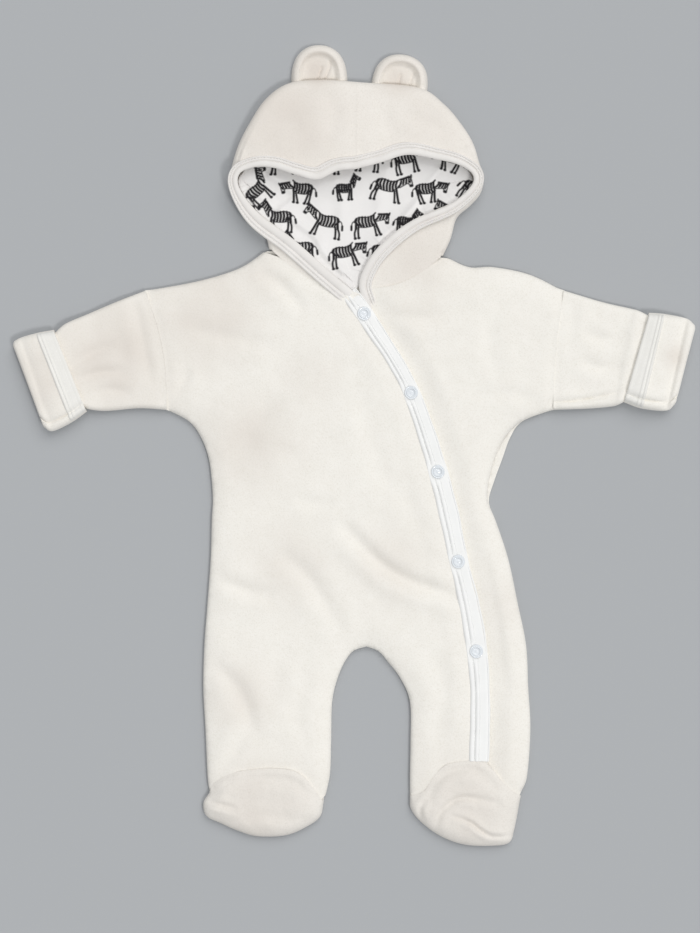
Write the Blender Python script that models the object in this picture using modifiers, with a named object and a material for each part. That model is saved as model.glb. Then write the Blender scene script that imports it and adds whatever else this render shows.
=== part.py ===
"""Baby snowsuit: a hooded, footed fleece overall, laid flat on its back.

Metres, +Z up.  The suit lies on Z = 0 with the hood towards +Y.  Sides are the wearer's own:
the wearer's right is towards -X.  The tables below are in millimetres.
"""
import math
from collections import namedtuple

import bmesh
import bpy
import numpy as np
from mathutils.geometry import delaunay_2d_cdt

MM = 0.001

# ---------------------------------------------------------------- driving sizes, millimetres
WALL = 3.2              # fleece, with its nap
LINING_WALL = 1.0       # printed jersey
GAP = 0.3               # between two pieces that are sewn together or lie on each other
LOFT = 3.3              # air between front and back where the suit is fullest
EDGE_ROLL = 24.0        # how far in from an edge the cloth reaches its full height
EDGE_LIP = 2.0          # height of a front panel at its very edge
UNDERLAP = 14.0         # how far the left front runs in under the right front
BAND_BASE = 1.1         # flat part of the front band
BAND_RIDGE = 2.6        # the two rolled ridges of the bindings
BAND_EDGE = 1.9         # the stitched free edge of the front band
SNAP_RADIUS = 6.4
HOOD_SEAM_X = 3.5       # the seam over the crown
NECK_CLEARANCE = 1.0
BACK_NECK_Y = 183.0     # where the hood meets the back, at the crown seam

BACK_TOP = WALL
FRONT_UNDER = BACK_TOP + GAP
CORNER_TURN = 0.4       # a turn of an outline, in radians, that counts as a corner
FLAP_UNDER = FRONT_UNDER + WALL + GAP
BODY_TOP = FRONT_UNDER + LOFT + WALL + 0.2

# Side seams: one row for each level down the suit.
Level = namedtuple("Level", "y right_side left_side peek")
BODY = [
    Level(31, -174, 186, 0),
    Level(20, -154, 158, 1),
    Level(5, -143, 147, 5),
    Level(-14, -136, 140, 7),
    Level(-36, -133, 132, 5),
    Level(-55, -132, 127, 1),
    Level(-72, -133, 133, 0),
    Level(-108, -134, 145, 0),
    Level(-150, -137, 154, 0),
    Level(-190, -140, 162, 0),
    Level(-230, -141, 164, 0),
    Level(-268, -139, 166, 0),
    Level(-312, -137, 163, 0),
    Level(-328, -135, 157, 0),
]

# Inner leg seams, from the crotch down.
LegLevel = namedtuple("LegLevel", "y right_leg left_leg")
CROTCH = (12, -191)
LEGS = [
    LegLevel(-195, 0, 23),
    LegLevel(-205, -8, 32),
    LegLevel(-221, -15, 44),
    LegLevel(-243, -20, 53),
    LegLevel(-280, -21, 53.5),
    LegLevel(-310, -22, 53),
    LegLevel(-330, -26, 53),
]

# Centre line of the front band, which is the free edge of the right front.
BandPoint = namedtuple("BandPoint", "x y half_width")
BAND = [
    BandPoint(-1, 136, 8.2),
    BandPoint(10, 121, 8.2),
    BandPoint(21, 104, 8.0),
    BandPoint(38, 78, 7.8),
    BandPoint(53, 50, 7.8),
    BandPoint(67, 12, 8.6),
    BandPoint(79, -27, 9.4),
    BandPoint(89, -66, 9.4),
    BandPoint(98.5, -111, 9.2),
    BandPoint(108, -150, 9.8),
    BandPoint(115.5, -195, 9.9),
    BandPoint(118.5, -240, 9.6),
    BandPoint(117.5, -295, 9.4),
]
SNAP_CENTRES = [(10, 121), (54, 47), (79, -27), (98, -111), (115, -195)]

# Shoulder seams, from the neck out to the sleeve.
SHOULDER_RIGHT = [(-79, 183), (-101, 167), (-123, 158), (-154, 150), (-194, 143)]
SHOULDER_LEFT = [(84, 176), (108, 165), (131, 165), (165, 158), (196, 143)]
ARMHOLE_CLEARANCE = 0.8

# Sleeves: one row for each section from the armhole to the end inside the cuff.
# bulge moves the middle of the section towards the body.
SleeveSection = namedtuple("SleeveSection", "top_x top_y low_x low_y bulge floor height")
SLEEVE_RIGHT = [
    SleeveSection(-195.2, 143, -175.2, 31, 7, 0, 10.2),
    SleeveSection(-221, 133, -201, 32.5, 4, 0, 10.2),
    SleeveSection(-249, 120, -227, 31, 2, 0.3, 10.0),
    SleeveSection(-270, 108.5, -240, 35, 0, 3.4, 9.0),
    SleeveSection(-284, 98.5, -255, 39, 0, 3.5, 8.8),
    SleeveSection(-309, 91, -282, 26, 0, 3.5, 8.8),
]
SLEEVE_LEFT = [
    SleeveSection(197.2, 143, 187.2, 31, -3, 0, 10.2),
    SleeveSection(234, 132, 217, 32, -2, 0, 10.2),
    SleeveSection(258, 125, 240, 35, -1, 0.3, 10.0),
    SleeveSection(266, 121.5, 246, 38, 0, 3.4, 9.0),
    SleeveSection(283, 113, 260, 48, 0, 3.5, 8.8),
    SleeveSection(310, 106, 291, 46, 0, 3.5, 8.8),
]

# Turned-back cuffs: sections from the hem to the fold, then in through the fold.
CuffSection = namedtuple("CuffSection", "top_x top_y low_x low_y bulge height")
CUFF_RIGHT = [
    CuffSection(-281, 106, -250, 29, 0, 16.0),
    CuffSection(-297, 103, -264, 19, 0, 16.8),
    CuffSection(-311, 99, -281, 11, 0, 16.4),
    CuffSection(-317, 96, -288, 14, 0, 15.0),
]
CUFF_LEFT = [
    CuffSection(277, 122, 253, 38, 0, 16.0),
    CuffSection(291, 121, 270, 32, 0, 16.8),
    CuffSection(311, 117, 292, 30, 0, 16.4),
    CuffSection(318, 112, 299, 35, 0, 15.0),
]
CUFF_MOUTH = ((0.9, 1.4), (0.9, 2.7))   # reach and turn-in of the rings past the wrist fold
HEM_WALL = 1.0
HEM_ROWS = 7            # sections of the cuff that the hem covers

# Hood: one row for each section round a half, from the neck to the crown seam.  edge is the
# rim of the face opening, fold the outer edge where the hood turns under.  dip pulls the
# middle of the section towards the chest; facing and binding are the widths of the trim.
HoodSection = namedtuple(
    "HoodSection", "edge_x edge_y edge_z fold_x fold_y fold_z dip facing binding")
HOOD_RIGHT = [
    HoodSection(0, 142, 8.8, -79, 183, 5.0, 9, 8, 7),
    HoodSection(-24, 162, 9.6, -83, 196, 5.6, 3, 8, 7),
    HoodSection(-57, 191, 11.0, -97, 212, 6.4, 0, 8, 7),
    HoodSection(-88, 214, 13.0, -109, 228, 7.2, 0, 6, 8),
    HoodSection(-106, 237, 15.0, -116, 245, 8.0, 0, 2, 8),
    HoodSection(-106, 251, 16.6, -114, 258, 8.4, 0, 0, 9),
    HoodSection(-91, 257, 18.2, -108, 278, 8.4, 0, 0, 10),
    HoodSection(-74, 256, 19.4, -98, 298, 8.4, 0, 0, 11),
    HoodSection(-55, 250, 20.2, -82, 322, 8.4, 0, 0, 11),
    HoodSection(-34, 245, 20.4, -60, 337, 8.4, 0, 0, 12),
    HoodSection(-15, 253, 20.8, -28, 340, 8.4, 0, 0, 12),
    HoodSection(3.1, 255, 21.0, 3.1, 338, 8.4, 0, 0, 12),
]
HOOD_LEFT = [
    HoodSection(5, 147, 6.6, 84, 177, 5.0, 12, 4, 8),
    HoodSection(12, 168, 9.0, 91, 192, 5.6, 4, 4, 8),
    HoodSection(28, 188, 11.0, 97, 212, 6.4, 0, 4, 8),
    HoodSection(55, 208, 12.6, 110, 224, 7.2, 0, 3, 8),
    HoodSection(90, 223, 14.2, 119, 235, 7.8, 0, 2, 8),
    HoodSection(109, 239, 15.4, 122, 250, 8.2, 0, 1, 8),
    HoodSection(111, 250, 16.6, 117, 263, 8.4, 0, 0, 9),
    HoodSection(98, 259, 18.2, 112, 280, 8.4, 0, 0, 10),
    HoodSection(77, 264, 19.4, 102, 297, 8.4, 0, 0, 11),
    HoodSection(50, 268, 20.4, 85, 317, 8.4, 0, 0, 12),
    HoodSection(26, 261, 20.8, 60, 333, 8.4, 0, 0, 12),
    HoodSection(3.9, 255, 21.0, 3.9, 338, 8.4, 0, 0, 12),
]
LINING_FLOOR = 4.6      # underside of the lining where it lies on the back of the hood
LINING_SLOPE = 13.0     # how far in from the rim the lining runs down to it
LINING_TUCK = 7.0       # how far the lining runs out under the rim
LINING_CLEAR = 11.0     # room that the hood's fold needs beyond the lining
LINING_DROP = 1.0       # how far the middle sinks below the floor height
BRIM_Y = 226.0          # above this the rim is the brim, which hangs clear of the lining
BRIM_LIFT = 3.0         # how far the lining rises towards the brim

# Ears: they stand on the hood's top fold between two places along X.
Ear = namedtuple("Ear", "name start_x end_x height")
EARS = [
    Ear("ear_right", -5.5, -58.5, 35.0),
    Ear("ear_left", 69.0, 16.5, 31.0),
]
EAR_TOP = 11.0
EAR_RIM = 6.5
EAR_TUCK = 0.6          # how far the ear's base runs in under the hood's rounded fold

# Feet: the instep seam and the toe outline, each from the outer side to the inner side.
INSTEP_RIGHT = [(-135, -328), (-130, -318), (-113, -309), (-86, -305), (-60, -306),
                (-46, -313), (-36, -325), (-28, -337)]
TOE_RIGHT = [(-28, -337), (-31, -350), (-42, -359), (-63, -368), (-90, -369), (-108, -364),
             (-124, -357), (-138, -350), (-141, -338), (-135, -328)]
INSTEP_LEFT = [(157, -331), (144, -322), (133, -309), (122, -299), (103, -298), (86, -302),
               (75, -313), (66, -326), (53, -331)]
TOE_LEFT = [(53, -331), (54, -344), (66, -358), (84, -370), (105, -377), (130, -378),
            (146, -375), (151, -362), (157, -331)]
FOOT_TOP = 15.0
SOLE_LINE = -331.0
INSTEP_CLEARANCE = 1.3


# ---------------------------------------------------------------- curves
def resample(points, step):
    """Evenly spaced points along a polyline."""
    points = np.asarray(points, float)
    lengths = np.linalg.norm(np.diff(points[:, :2], axis=0), axis=1)
    along = np.concatenate([[0], np.cumsum(lengths)])
    count = max(2, int(math.ceil(along[-1] / step)) + 1)
    wanted = np.linspace(0, along[-1], count)
    columns = [np.interp(wanted, along, points[:, i]) for i in range(points.shape[1])]
    return np.stack(columns, axis=1)


def even_outline(outline, step):
    """A closed outline with evenly spaced points that keeps its corners."""
    outline = outline[np.linalg.norm(outline - np.roll(outline, 1, axis=0), axis=1) > 0.05]
    before = outline - np.roll(outline, 1, axis=0)
    after = np.roll(outline, -1, axis=0) - outline
    turn = np.arctan2(before[:, 0] * after[:, 1] - before[:, 1] * after[:, 0],
                      np.sum(before * after, axis=1))
    corners = np.flatnonzero(np.abs(turn) > CORNER_TURN)
    outline = np.roll(outline, -corners[0], axis=0)
    ends = list(corners - corners[0]) + [len(outline)]
    closed = np.vstack([outline, outline[:1]])
    pieces = [resample(closed[a:b + 1], step)[:-1] for a, b in zip(ends[:-1], ends[1:])]
    return np.vstack(pieces)


def spline(points, per_span=8):
    """A Catmull-Rom curve through the points; every column is carried along."""
    points = np.asarray(points, float)
    padded = np.vstack([2 * points[0] - points[1], points, 2 * points[-1] - points[-2]])
    curve = []
    for i in range(len(points) - 1):
        a, b, c, d = padded[i:i + 4]
        for t in np.linspace(0, 1, per_span, endpoint=False):
            curve.append(0.5 * (2 * b + (c - a) * t + (2 * a - 5 * b + 4 * c - d) * t ** 2
                                + (3 * b - a - 3 * c + d) * t ** 3))
    curve.append(points[-1])
    return np.array(curve)


def normals(line):
    """Unit normals of a polyline, to the left of its run."""
    run = np.gradient(line[:, :2], axis=0)
    run /= np.linalg.norm(run, axis=1)[:, None]
    return np.stack([-run[:, 1], run[:, 0]], axis=1)


def shifted(line, distance):
    """The line moved sideways, to the left of its run."""
    return line[:, :2] + normals(line) * distance


def distance_to(points, lines):
    """Distance from each point to the nearest of several polylines."""
    points = np.asarray(points, float)[:, :2]
    best = np.full(len(points), 1e9)
    for line in lines:
        for start, end in zip(line[:-1, :2], line[1:, :2]):
            run = end - start
            t = np.clip(((points - start) @ run) / max(run @ run, 1e-12), 0, 1)
            best = np.minimum(best, np.linalg.norm(points - start - t[:, None] * run, axis=1))
    return best


def inside(points, outline):
    """Which points lie inside a closed outline."""
    x, y = points[:, 0], points[:, 1]
    result = np.zeros(len(points), bool)
    ends = np.roll(outline, -1, axis=0)
    for (x0, y0), (x1, y1) in zip(outline[:, :2], ends[:, :2]):
        if y0 != y1:
            crosses = (y0 > y) != (y1 > y)
            result ^= crosses & (x < (x1 - x0) * (y - y0) / (y1 - y0) + x0)
    return result


def ramp(value, width):
    """0 at 0, rising smoothly to 1 at width."""
    t = np.clip(value / width, 0, 1)
    return t * t * (3 - 2 * t)


# ---------------------------------------------------------------- the suit's lines
def side_line(column, inset=0.0):
    rows = [(getattr(row, column) - inset * row.peek, row.y) for row in BODY]
    return spline(rows)


def leg_line(column):
    return spline([CROTCH] + [(getattr(row, column), row.y) for row in LEGS])


def band_line():
    return spline([(row.x, row.y, row.half_width) for row in BAND])


def hood_rows(table, per_span=2):
    """The hood's sections, smoothed: one named row for each."""
    return [HoodSection(*row) for row in spline([tuple(row) for row in table], per_span)]


def section_line(section, shift=0.0, count=9):
    """The chord of a sleeve section from its top to its low end, with its bulge."""
    top = np.array([section.top_x + shift, section.top_y])
    low = np.array([section.low_x + shift, section.low_y])
    return np.array([top + (low - top) * t + (4 * section.bulge * t * (1 - t), 0)
                     for t in np.linspace(0, 1, count)])


def neck_line(table, shift):
    """The neck seam of one side, from the shoulder to the front, moved towards the feet."""
    first = table[0]
    start = np.array([first.fold_x, first.fold_y])
    end = np.array([first.edge_x, first.edge_y])
    line = []
    for t in np.linspace(0, 1, 9):
        line.append(start + (end - start) * t + np.array([0, -4 * first.dip * t * (1 - t)]))
    return np.array(line) + np.array([0, -shift])


ARMHOLE_RIGHT = section_line(SLEEVE_RIGHT[0], ARMHOLE_CLEARANCE)
ARMHOLE_LEFT = section_line(SLEEVE_LEFT[0], -ARMHOLE_CLEARANCE)
RIGHT_SIDE = side_line("right_side")
LEFT_SIDE = side_line("left_side")
LEFT_SIDE_FRONT = side_line("left_side", inset=1.0)
RIGHT_INSEAM = leg_line("right_leg")
LEFT_INSEAM = leg_line("left_leg")
SILHOUETTE = [RIGHT_SIDE, LEFT_SIDE_FRONT, RIGHT_INSEAM, LEFT_INSEAM,
              spline(SHOULDER_RIGHT), spline(SHOULDER_LEFT)]
BAND_CENTRE = band_line()
LINING_EDGE = spline(
    [(row.edge_x, row.edge_y, row.edge_z) for row in HOOD_LEFT[:-1]]
    + [(HOOD_SEAM_X, HOOD_LEFT[-1].edge_y, HOOD_LEFT[-1].edge_z)]
    + [(row.edge_x, row.edge_y, row.edge_z) for row in HOOD_RIGHT[-2::-1]], per_span=4)

# Soft troughs of the front: one row for each fold, from (x0, y0) through a bend to (x1, y1).
Fold = namedtuple("Fold", "x0 y0 bend_x bend_y x1 y1 depth width")
FOLDS = [
    Fold(-8, -80, 40, -120, 111, -149, 1.7, 13),
    Fold(-69, -101, -41, -129, -8, -176, 1.4, 15),
    Fold(-125, -129, -101, -138, -78, -143, 1.3, 12),
    Fold(-130, -209, -108, -235, -91, -279, 1.3, 14),
    Fold(-97, -256, -108, -284, -125, -307, 1.0, 12),
    Fold(-149, 106, -112, 98, -78, 92, 1.0, 14),
    Fold(-88, 161, -66, 146, -50, 125, 1.2, 12),
    Fold(-50, 78, -84, 30, -116, -35, 1.3, 22),
    Fold(34, 118, 72, 117, 110, 130, 1.2, 13),
    Fold(119, -105, 134, -170, 142, -242, 1.0, 12),
]


def fold_depth(points):
    """How far the folds lower the cloth at each point."""
    depth = np.zeros(len(points))
    for fold in FOLDS:
        line = spline([(fold.x0, fold.y0), (fold.bend_x, fold.bend_y), (fold.x1, fold.y1)], 4)
        away = distance_to(points, [line])
        depth = np.maximum(depth, fold.depth * np.exp(-(away / (0.5 * fold.width)) ** 2))
    return depth


# ---------------------------------------------------------------- heights of the layers
def back_under(points):
    return np.zeros(len(points))


def back_top(points):
    return np.full(len(points), BACK_TOP)


def front_top(points):
    """Top of the front: rolled down at the suit's edges, full in the middle."""
    reach = np.clip(distance_to(points, SILHOUETTE) / EDGE_ROLL, 0, 1)
    rise = 1 - (1 - reach) ** 2.2
    low = FRONT_UNDER + EDGE_LIP
    return low + (BODY_TOP - low) * rise - fold_depth(points) * rise


def front_air(points):
    reach = distance_to(points, SILHOUETTE)
    return np.maximum(0, front_top(points) - WALL * ramp(reach + 14, EDGE_ROLL) - FRONT_UNDER)


def left_front_air(points):
    """The left front settles onto the back where the right front covers it."""
    covered = distance_to(points, [BAND_CENTRE])
    settled = ramp(covered - 10, 26)
    right_of_band = points[:, 0] > np.interp(points[:, 1], BAND_CENTRE[::-1, 1],
                                             BAND_CENTRE[::-1, 0])
    return front_air(points) * np.where(right_of_band, settled, 0)


def left_front_under(points):
    return FRONT_UNDER + left_front_air(points)


def left_front_top(points):
    reach = distance_to(points, SILHOUETTE)
    return left_front_under(points) + EDGE_LIP + (WALL - EDGE_LIP) * ramp(reach, 8)


def over_underlap(points):
    """1 where the right front lies on the left front, 0 away from it."""
    limit = np.interp(points[:, 1], BAND_CENTRE[::-1, 1], BAND_CENTRE[::-1, 0])
    return ramp(points[:, 0] - (limit - UNDERLAP - 34), 26)


def right_front_under(points):
    free = FRONT_UNDER + front_air(points)
    return np.maximum(free, FRONT_UNDER + (FLAP_UNDER - FRONT_UNDER) * over_underlap(points))


def right_front_top(points):
    reach = distance_to(points, SILHOUETTE)
    return right_front_under(points) + EDGE_LIP + (WALL - EDGE_LIP) * ramp(reach, 8)


# ---------------------------------------------------------------- making objects
def material(name, colour, roughness):
    made = bpy.data.materials.new(name)
    made.use_nodes = True
    shader = made.node_tree.nodes["Principled BSDF"]
    shader.inputs["Base Color"].default_value = (*colour, 1.0)
    shader.inputs["Roughness"].default_value = roughness
    shader.inputs["Metallic"].default_value = 0.0
    return made


def add_object(name, mesh, look):
    mesh.materials.append(look)
    mesh.shade_smooth()
    made = bpy.data.objects.new(name, mesh)
    SUIT.objects.link(made)
    return made


def panel(name, outline, top, under, spacing, look, lip=3.5):
    """A flat-cut panel: its outline is filled with an even net, which is then lifted to the
    height functions top and under and closed round its edge."""
    ring = even_outline(outline, spacing * 0.8)
    if inside(ring[:1] + normals(ring)[:1] * 0.5, ring)[0]:
        inner = ring + normals(ring) * lip
    else:
        inner = ring - normals(ring) * lip
    closed_ring = np.vstack([ring, ring[:1]])
    inner = inner[(distance_to(inner, [closed_ring]) > 0.9 * lip) & inside(inner, ring)]
    low, high = ring.min(axis=0), ring.max(axis=0)
    rows = np.arange(low[1], high[1], spacing * 0.866)
    net = np.array([(x + (i % 2) * spacing / 2, y) for i, y in enumerate(rows)
                    for x in np.arange(low[0], high[0], spacing)])
    net = net[inside(net, ring)]
    net = net[distance_to(net, [closed_ring]) > lip + spacing * 0.5]
    points = [tuple(p) for p in np.vstack([ring, inner, net])]
    border = list(range(len(ring)))
    flat, _, faces, _, _, _ = delaunay_2d_cdt(points, [], [border], 1, 1e-5)
    xy = np.array([tuple(p) for p in flat])
    shape = bmesh.new()
    lower = [shape.verts.new((x * MM, y * MM, z * MM)) for (x, y), z in zip(xy, under(xy))]
    for face in faces:
        shape.faces.new([lower[i] for i in face])
    grown = bmesh.ops.extrude_face_region(shape, geom=shape.faces[:], use_keep_orig=True)
    upper = [v for v in grown["geom"] if isinstance(v, bmesh.types.BMVert)]
    heights = top(np.array([v.co.xy for v in upper]) / MM)
    for vert, height in zip(upper, heights):
        vert.co.z = height * MM
    bmesh.ops.recalc_face_normals(shape, faces=shape.faces[:])
    mesh = bpy.data.meshes.new(name)
    shape.to_mesh(mesh)
    shape.free()
    return add_object(name, mesh, look)


def loft(name, sections, look, wall=None, ring=False, capped=False):
    """Quads between sections of equally many points.  An open loft gets its wall from
    Solidify; a capped ring is a solid strip."""
    sections = np.asarray(sections, float) * MM
    rows, count = sections.shape[:2]
    shape = bmesh.new()
    grid = [[shape.verts.new(point) for point in section] for section in sections]
    for i in range(rows - 1):
        for j in range(count if ring else count - 1):
            k = (j + 1) % count
            shape.faces.new((grid[i][j], grid[i][k], grid[i + 1][k], grid[i + 1][j]))
    if capped:
        shape.faces.new(grid[0][::-1])
        shape.faces.new(grid[-1])
    bmesh.ops.recalc_face_normals(shape, faces=shape.faces[:])
    if capped:
        bmesh.ops.triangulate(shape, faces=[f for f in shape.faces if len(f.verts) > 4])
    mesh = bpy.data.meshes.new(name)
    shape.to_mesh(mesh)
    shape.free()
    made = add_object(name, mesh, look)
    if wall:
        shell = made.modifiers.new("wall", "SOLIDIFY")
        shell.thickness = wall * MM
        shell.offset = 0.0
    return made


# ---------------------------------------------------------------- body
def make_body():
    back_neck = np.array([(86, 173.5), (HOOD_SEAM_X, 180.5), (-81, 180)])
    right_sole = np.array([(-135.5, SOLE_LINE), (-26.5, SOLE_LINE)])
    left_sole = np.array([(53.0, SOLE_LINE), (156.0, SOLE_LINE)])
    outline = np.vstack([
        spline(SHOULDER_RIGHT)[3:-1], ARMHOLE_RIGHT,
        RIGHT_SIDE[RIGHT_SIDE[:, 1] > SOLE_LINE + 2][1:], right_sole,
        RIGHT_INSEAM[::-1][RIGHT_INSEAM[::-1][:, 1] > SOLE_LINE + 2],
        LEFT_INSEAM[1:][LEFT_INSEAM[1:][:, 1] > SOLE_LINE + 2], left_sole,
        LEFT_SIDE[::-1][LEFT_SIDE[::-1][:, 1] > SOLE_LINE + 2][:-1],
        ARMHOLE_LEFT[::-1], spline(SHOULDER_LEFT)[::-1][1:-3],
        back_neck])
    panel("back", outline, back_top, back_under, 24.0, FLEECE)

    flap_edge = BAND_CENTRE[:, :2]
    outline = np.vstack([
        spline(SHOULDER_RIGHT)[2:-1], ARMHOLE_RIGHT,
        RIGHT_SIDE[1:-6], shifted(spline(INSTEP_RIGHT), INSTEP_CLEARANCE)[4:-4],
        RIGHT_INSEAM[::-1][5:], LEFT_INSEAM[1:-5],
    ])
    left_instep = shifted(spline(INSTEP_LEFT), -INSTEP_CLEARANCE)[::-1]
    left_instep = left_instep[(left_instep[:, 0] > 56) & (left_instep[:, 0] < flap_edge[-1, 0])]
    neck = neck_line(HOOD_RIGHT, NECK_CLEARANCE)[::-1]
    outline = np.vstack([outline, left_instep, flap_edge[::-1], neck[:-2]])
    panel("front_right", outline, right_front_top, right_front_under, 17.0, FLEECE)

    under_edge = shifted(BAND_CENTRE, -UNDERLAP)
    start = under_edge[under_edge[:, 1] < 128]
    instep = shifted(spline(INSTEP_LEFT), -INSTEP_CLEARANCE)
    instep = instep[(instep[:, 0] < 152) & (instep[:, 0] > start[-1, 0] + 3)]
    neck = neck_line(HOOD_LEFT, NECK_CLEARANCE)
    neck = neck[1:-1]
    outline = np.vstack([
        start, instep[::-1], LEFT_SIDE_FRONT[::-1][6:-1], ARMHOLE_LEFT[::-1],
        spline(SHOULDER_LEFT)[::-1][1:-2], neck])
    panel("front_left", outline, left_front_top, left_front_under, 15.0, FLEECE)


# ---------------------------------------------------------------- sleeves and cuffs
def flat_ring(top, low, bulge, floor, height, turn=4):
    """The mid-surface of a tube pressed flat: straight underneath, rounded at both edges,
    crowned a little on top."""
    top, low = np.array(top, float), np.array(low, float)
    run = top - low
    width = np.linalg.norm(run)
    radius = 0.5 * (height - WALL)
    middle = floor + WALL / 2 + radius
    across = []
    for side in (0, 1):
        for i in range(turn):
            angle = math.pi * (i / (turn - 1) - 0.5)
            reach = radius * math.cos(angle)
            rise = radius * math.sin(angle)
            inset = WALL / 2 + radius - reach
            across.append((inset, middle + rise) if side == 0
                          else (width - inset, middle - rise))
        spans = (0.16, 0.38, 0.62, 0.84)
        for part in (spans if side == 0 else spans[::-1]):
            across.append((width * part, middle + (radius if side == 0 else -radius)))
    ring = []
    for offset, z in across:
        t = offset / width
        x, y = low + run * t + np.array([4 * bulge * t * (1 - t), 0])
        ring.append((x, y, z))
    return ring


def sleeve_rings(table, per_span=2):
    rows = [SleeveSection(*row) for row in spline([tuple(row) for row in table], per_span)]
    return [flat_ring((r.top_x, r.top_y), (r.low_x, r.low_y), r.bulge, r.floor, r.height)
            for r in rows]


def cuff_rings(table, per_span=2):
    rows = [CuffSection(*row) for row in spline([tuple(row) for row in table], per_span)]
    rings = [flat_ring((r.top_x, r.top_y), (r.low_x, r.low_y), r.bulge, 0, r.height)
             for r in rows]
    last = table[-1]
    outwards = math.copysign(1.0, last.top_x)
    for reach, inset in CUFF_MOUTH:
        rings.append(flat_ring(
            (last.top_x + outwards * reach, last.top_y - inset),
            (last.low_x + outwards * reach, last.low_y + inset),
            last.bulge, inset, last.height - 2 * inset))
    return rings


def hem_strip(table):
    """The stitched hem: a strip on the cuff's upper side, from the cuff's own points."""
    rows = [CuffSection(*row) for row in spline([tuple(row) for row in table], 6)]
    lift = WALL / 2 + GAP + HEM_WALL / 2 + 0.2
    strip = []
    for row in rows[:HEM_ROWS]:
        ring = flat_ring((row.top_x, row.top_y), (row.low_x, row.low_y), row.bulge, 0,
                         row.height)
        upper = np.array(ring[3:9])
        strip.append(upper + np.array([0, 0, lift]))
    return strip


def make_sleeves():
    for side, sleeve, cuff in (("right", SLEEVE_RIGHT, CUFF_RIGHT),
                               ("left", SLEEVE_LEFT, CUFF_LEFT)):
        loft("sleeve_" + side, sleeve_rings(sleeve), FLEECE, wall=WALL, ring=True)
        loft("cuff_" + side, cuff_rings(cuff), FLEECE, wall=WALL - 0.2, ring=True)
        loft("hem_" + side, hem_strip(cuff), JERSEY, wall=HEM_WALL)


# ---------------------------------------------------------------- hood
FOLD_STEPS = 3          # points round the fold, between the upper and the under layer


def hood_half(table):
    """Sections of one half: from the face opening over the top, round the fold and back
    underneath to the crown seam."""
    rows = hood_rows(table)
    seam_x = table[-1].fold_x
    neck_y, crown_y = BACK_NECK_Y, table[-1].fold_y
    sections = []
    for i, row in enumerate(rows):
        edge = np.array([row.edge_x, row.edge_y])
        fold = np.array([row.fold_x, row.fold_y])
        run = fold - edge
        width = np.linalg.norm(run)
        under_z = WALL / 2
        bend = row.fold_z - under_z
        top_z = row.fold_z + bend
        part = i / (len(rows) - 1)
        centre = np.array([seam_x, neck_y + (crown_y - 16 - neck_y) * part])
        section = []
        usable = width - bend - WALL / 2
        for reach in (min(3.0, 0.3 * usable), min(15.0, 0.5 * usable), 0.75 * usable, usable):
            t = reach / width
            hold = float(ramp(np.array(reach - 15.0), usable)) if usable > 20 else 0.0
            z = row.edge_z + (top_z - row.edge_z) * hold
            section.append((*(edge + run * t + (0, -4 * row.dip * t * (1 - t))), z))
        for k in range(FOLD_STEPS):
            angle = math.pi * (0.5 - (k + 1) / (FOLD_STEPS + 1))
            reach = bend * math.cos(angle)
            place = fold - run / width * (WALL / 2 + bend - reach)
            section.append((*place, row.fold_z + bend * math.sin(angle)))
        inward = fold - run / width * (WALL / 2 + bend)
        for t in (0.0, 0.33, 0.66, 1.0):
            section.append((*(inward + (centre - inward) * t), under_z))
        sections.append(section)
    return sections


def hood_binding():
    """The trim round the face opening: a flat facing towards the face, then two ridges."""
    left = hood_rows(HOOD_LEFT)
    right = hood_rows(HOOD_RIGHT)
    rows = left[1:-1] + right[::-1][1:]
    line = np.array([(r.edge_x, r.edge_y, r.edge_z) for r in rows])
    away = normals(line)
    probe = np.array([[HOOD_SEAM_X, 215.0]])
    if np.mean(np.sum(away * (line[:, :2] - probe), axis=1)) < 0:
        away = -away
    sections = []
    for row, out in zip(rows, away):
        edge = np.array([row.edge_x, row.edge_y])
        base = row.edge_z + WALL / 2 + GAP + 0.5
        flat, trim = row.facing, row.binding
        profile = [
            (0.0, 0.5), (0.0, BAND_BASE), (flat, BAND_BASE), (flat + 0.12 * trim, BAND_RIDGE),
            (flat + 0.36 * trim, BAND_RIDGE), (flat + 0.5 * trim, 0.55 * BAND_RIDGE),
            (flat + 0.64 * trim, 0.85 * BAND_RIDGE), (flat + 0.85 * trim, 0.8 * BAND_RIDGE),
            (flat + trim, 0.4 * BAND_RIDGE), (flat + trim, 0.0), (flat + 0.5 * trim, 0.0),
            (0.4 * (flat + trim), 0.0)]
        sections.append([(*(edge + out * reach), base + z) for reach, z in profile])
    return sections


def lining_outline():
    """The face opening with a tuck all round, open towards the chest."""
    away = normals(LINING_EDGE)
    if inside(LINING_EDGE[10:11, :2] + away[10:11], LINING_EDGE[:, :2])[0]:
        away = -away
    folds = np.array([(row.fold_x, row.fold_y) for row in HOOD_LEFT + HOOD_RIGHT], float)
    room = distance_to(LINING_EDGE, [spline(folds[:len(HOOD_LEFT)]),
                                     spline(folds[len(HOOD_LEFT):])]) - LINING_CLEAR
    tuck = np.clip(room, 0, LINING_TUCK) * ramp(LINING_EDGE[:, 1] - 150, 40)
    return LINING_EDGE[:, :2] + away * tuck[:, None]


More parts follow.
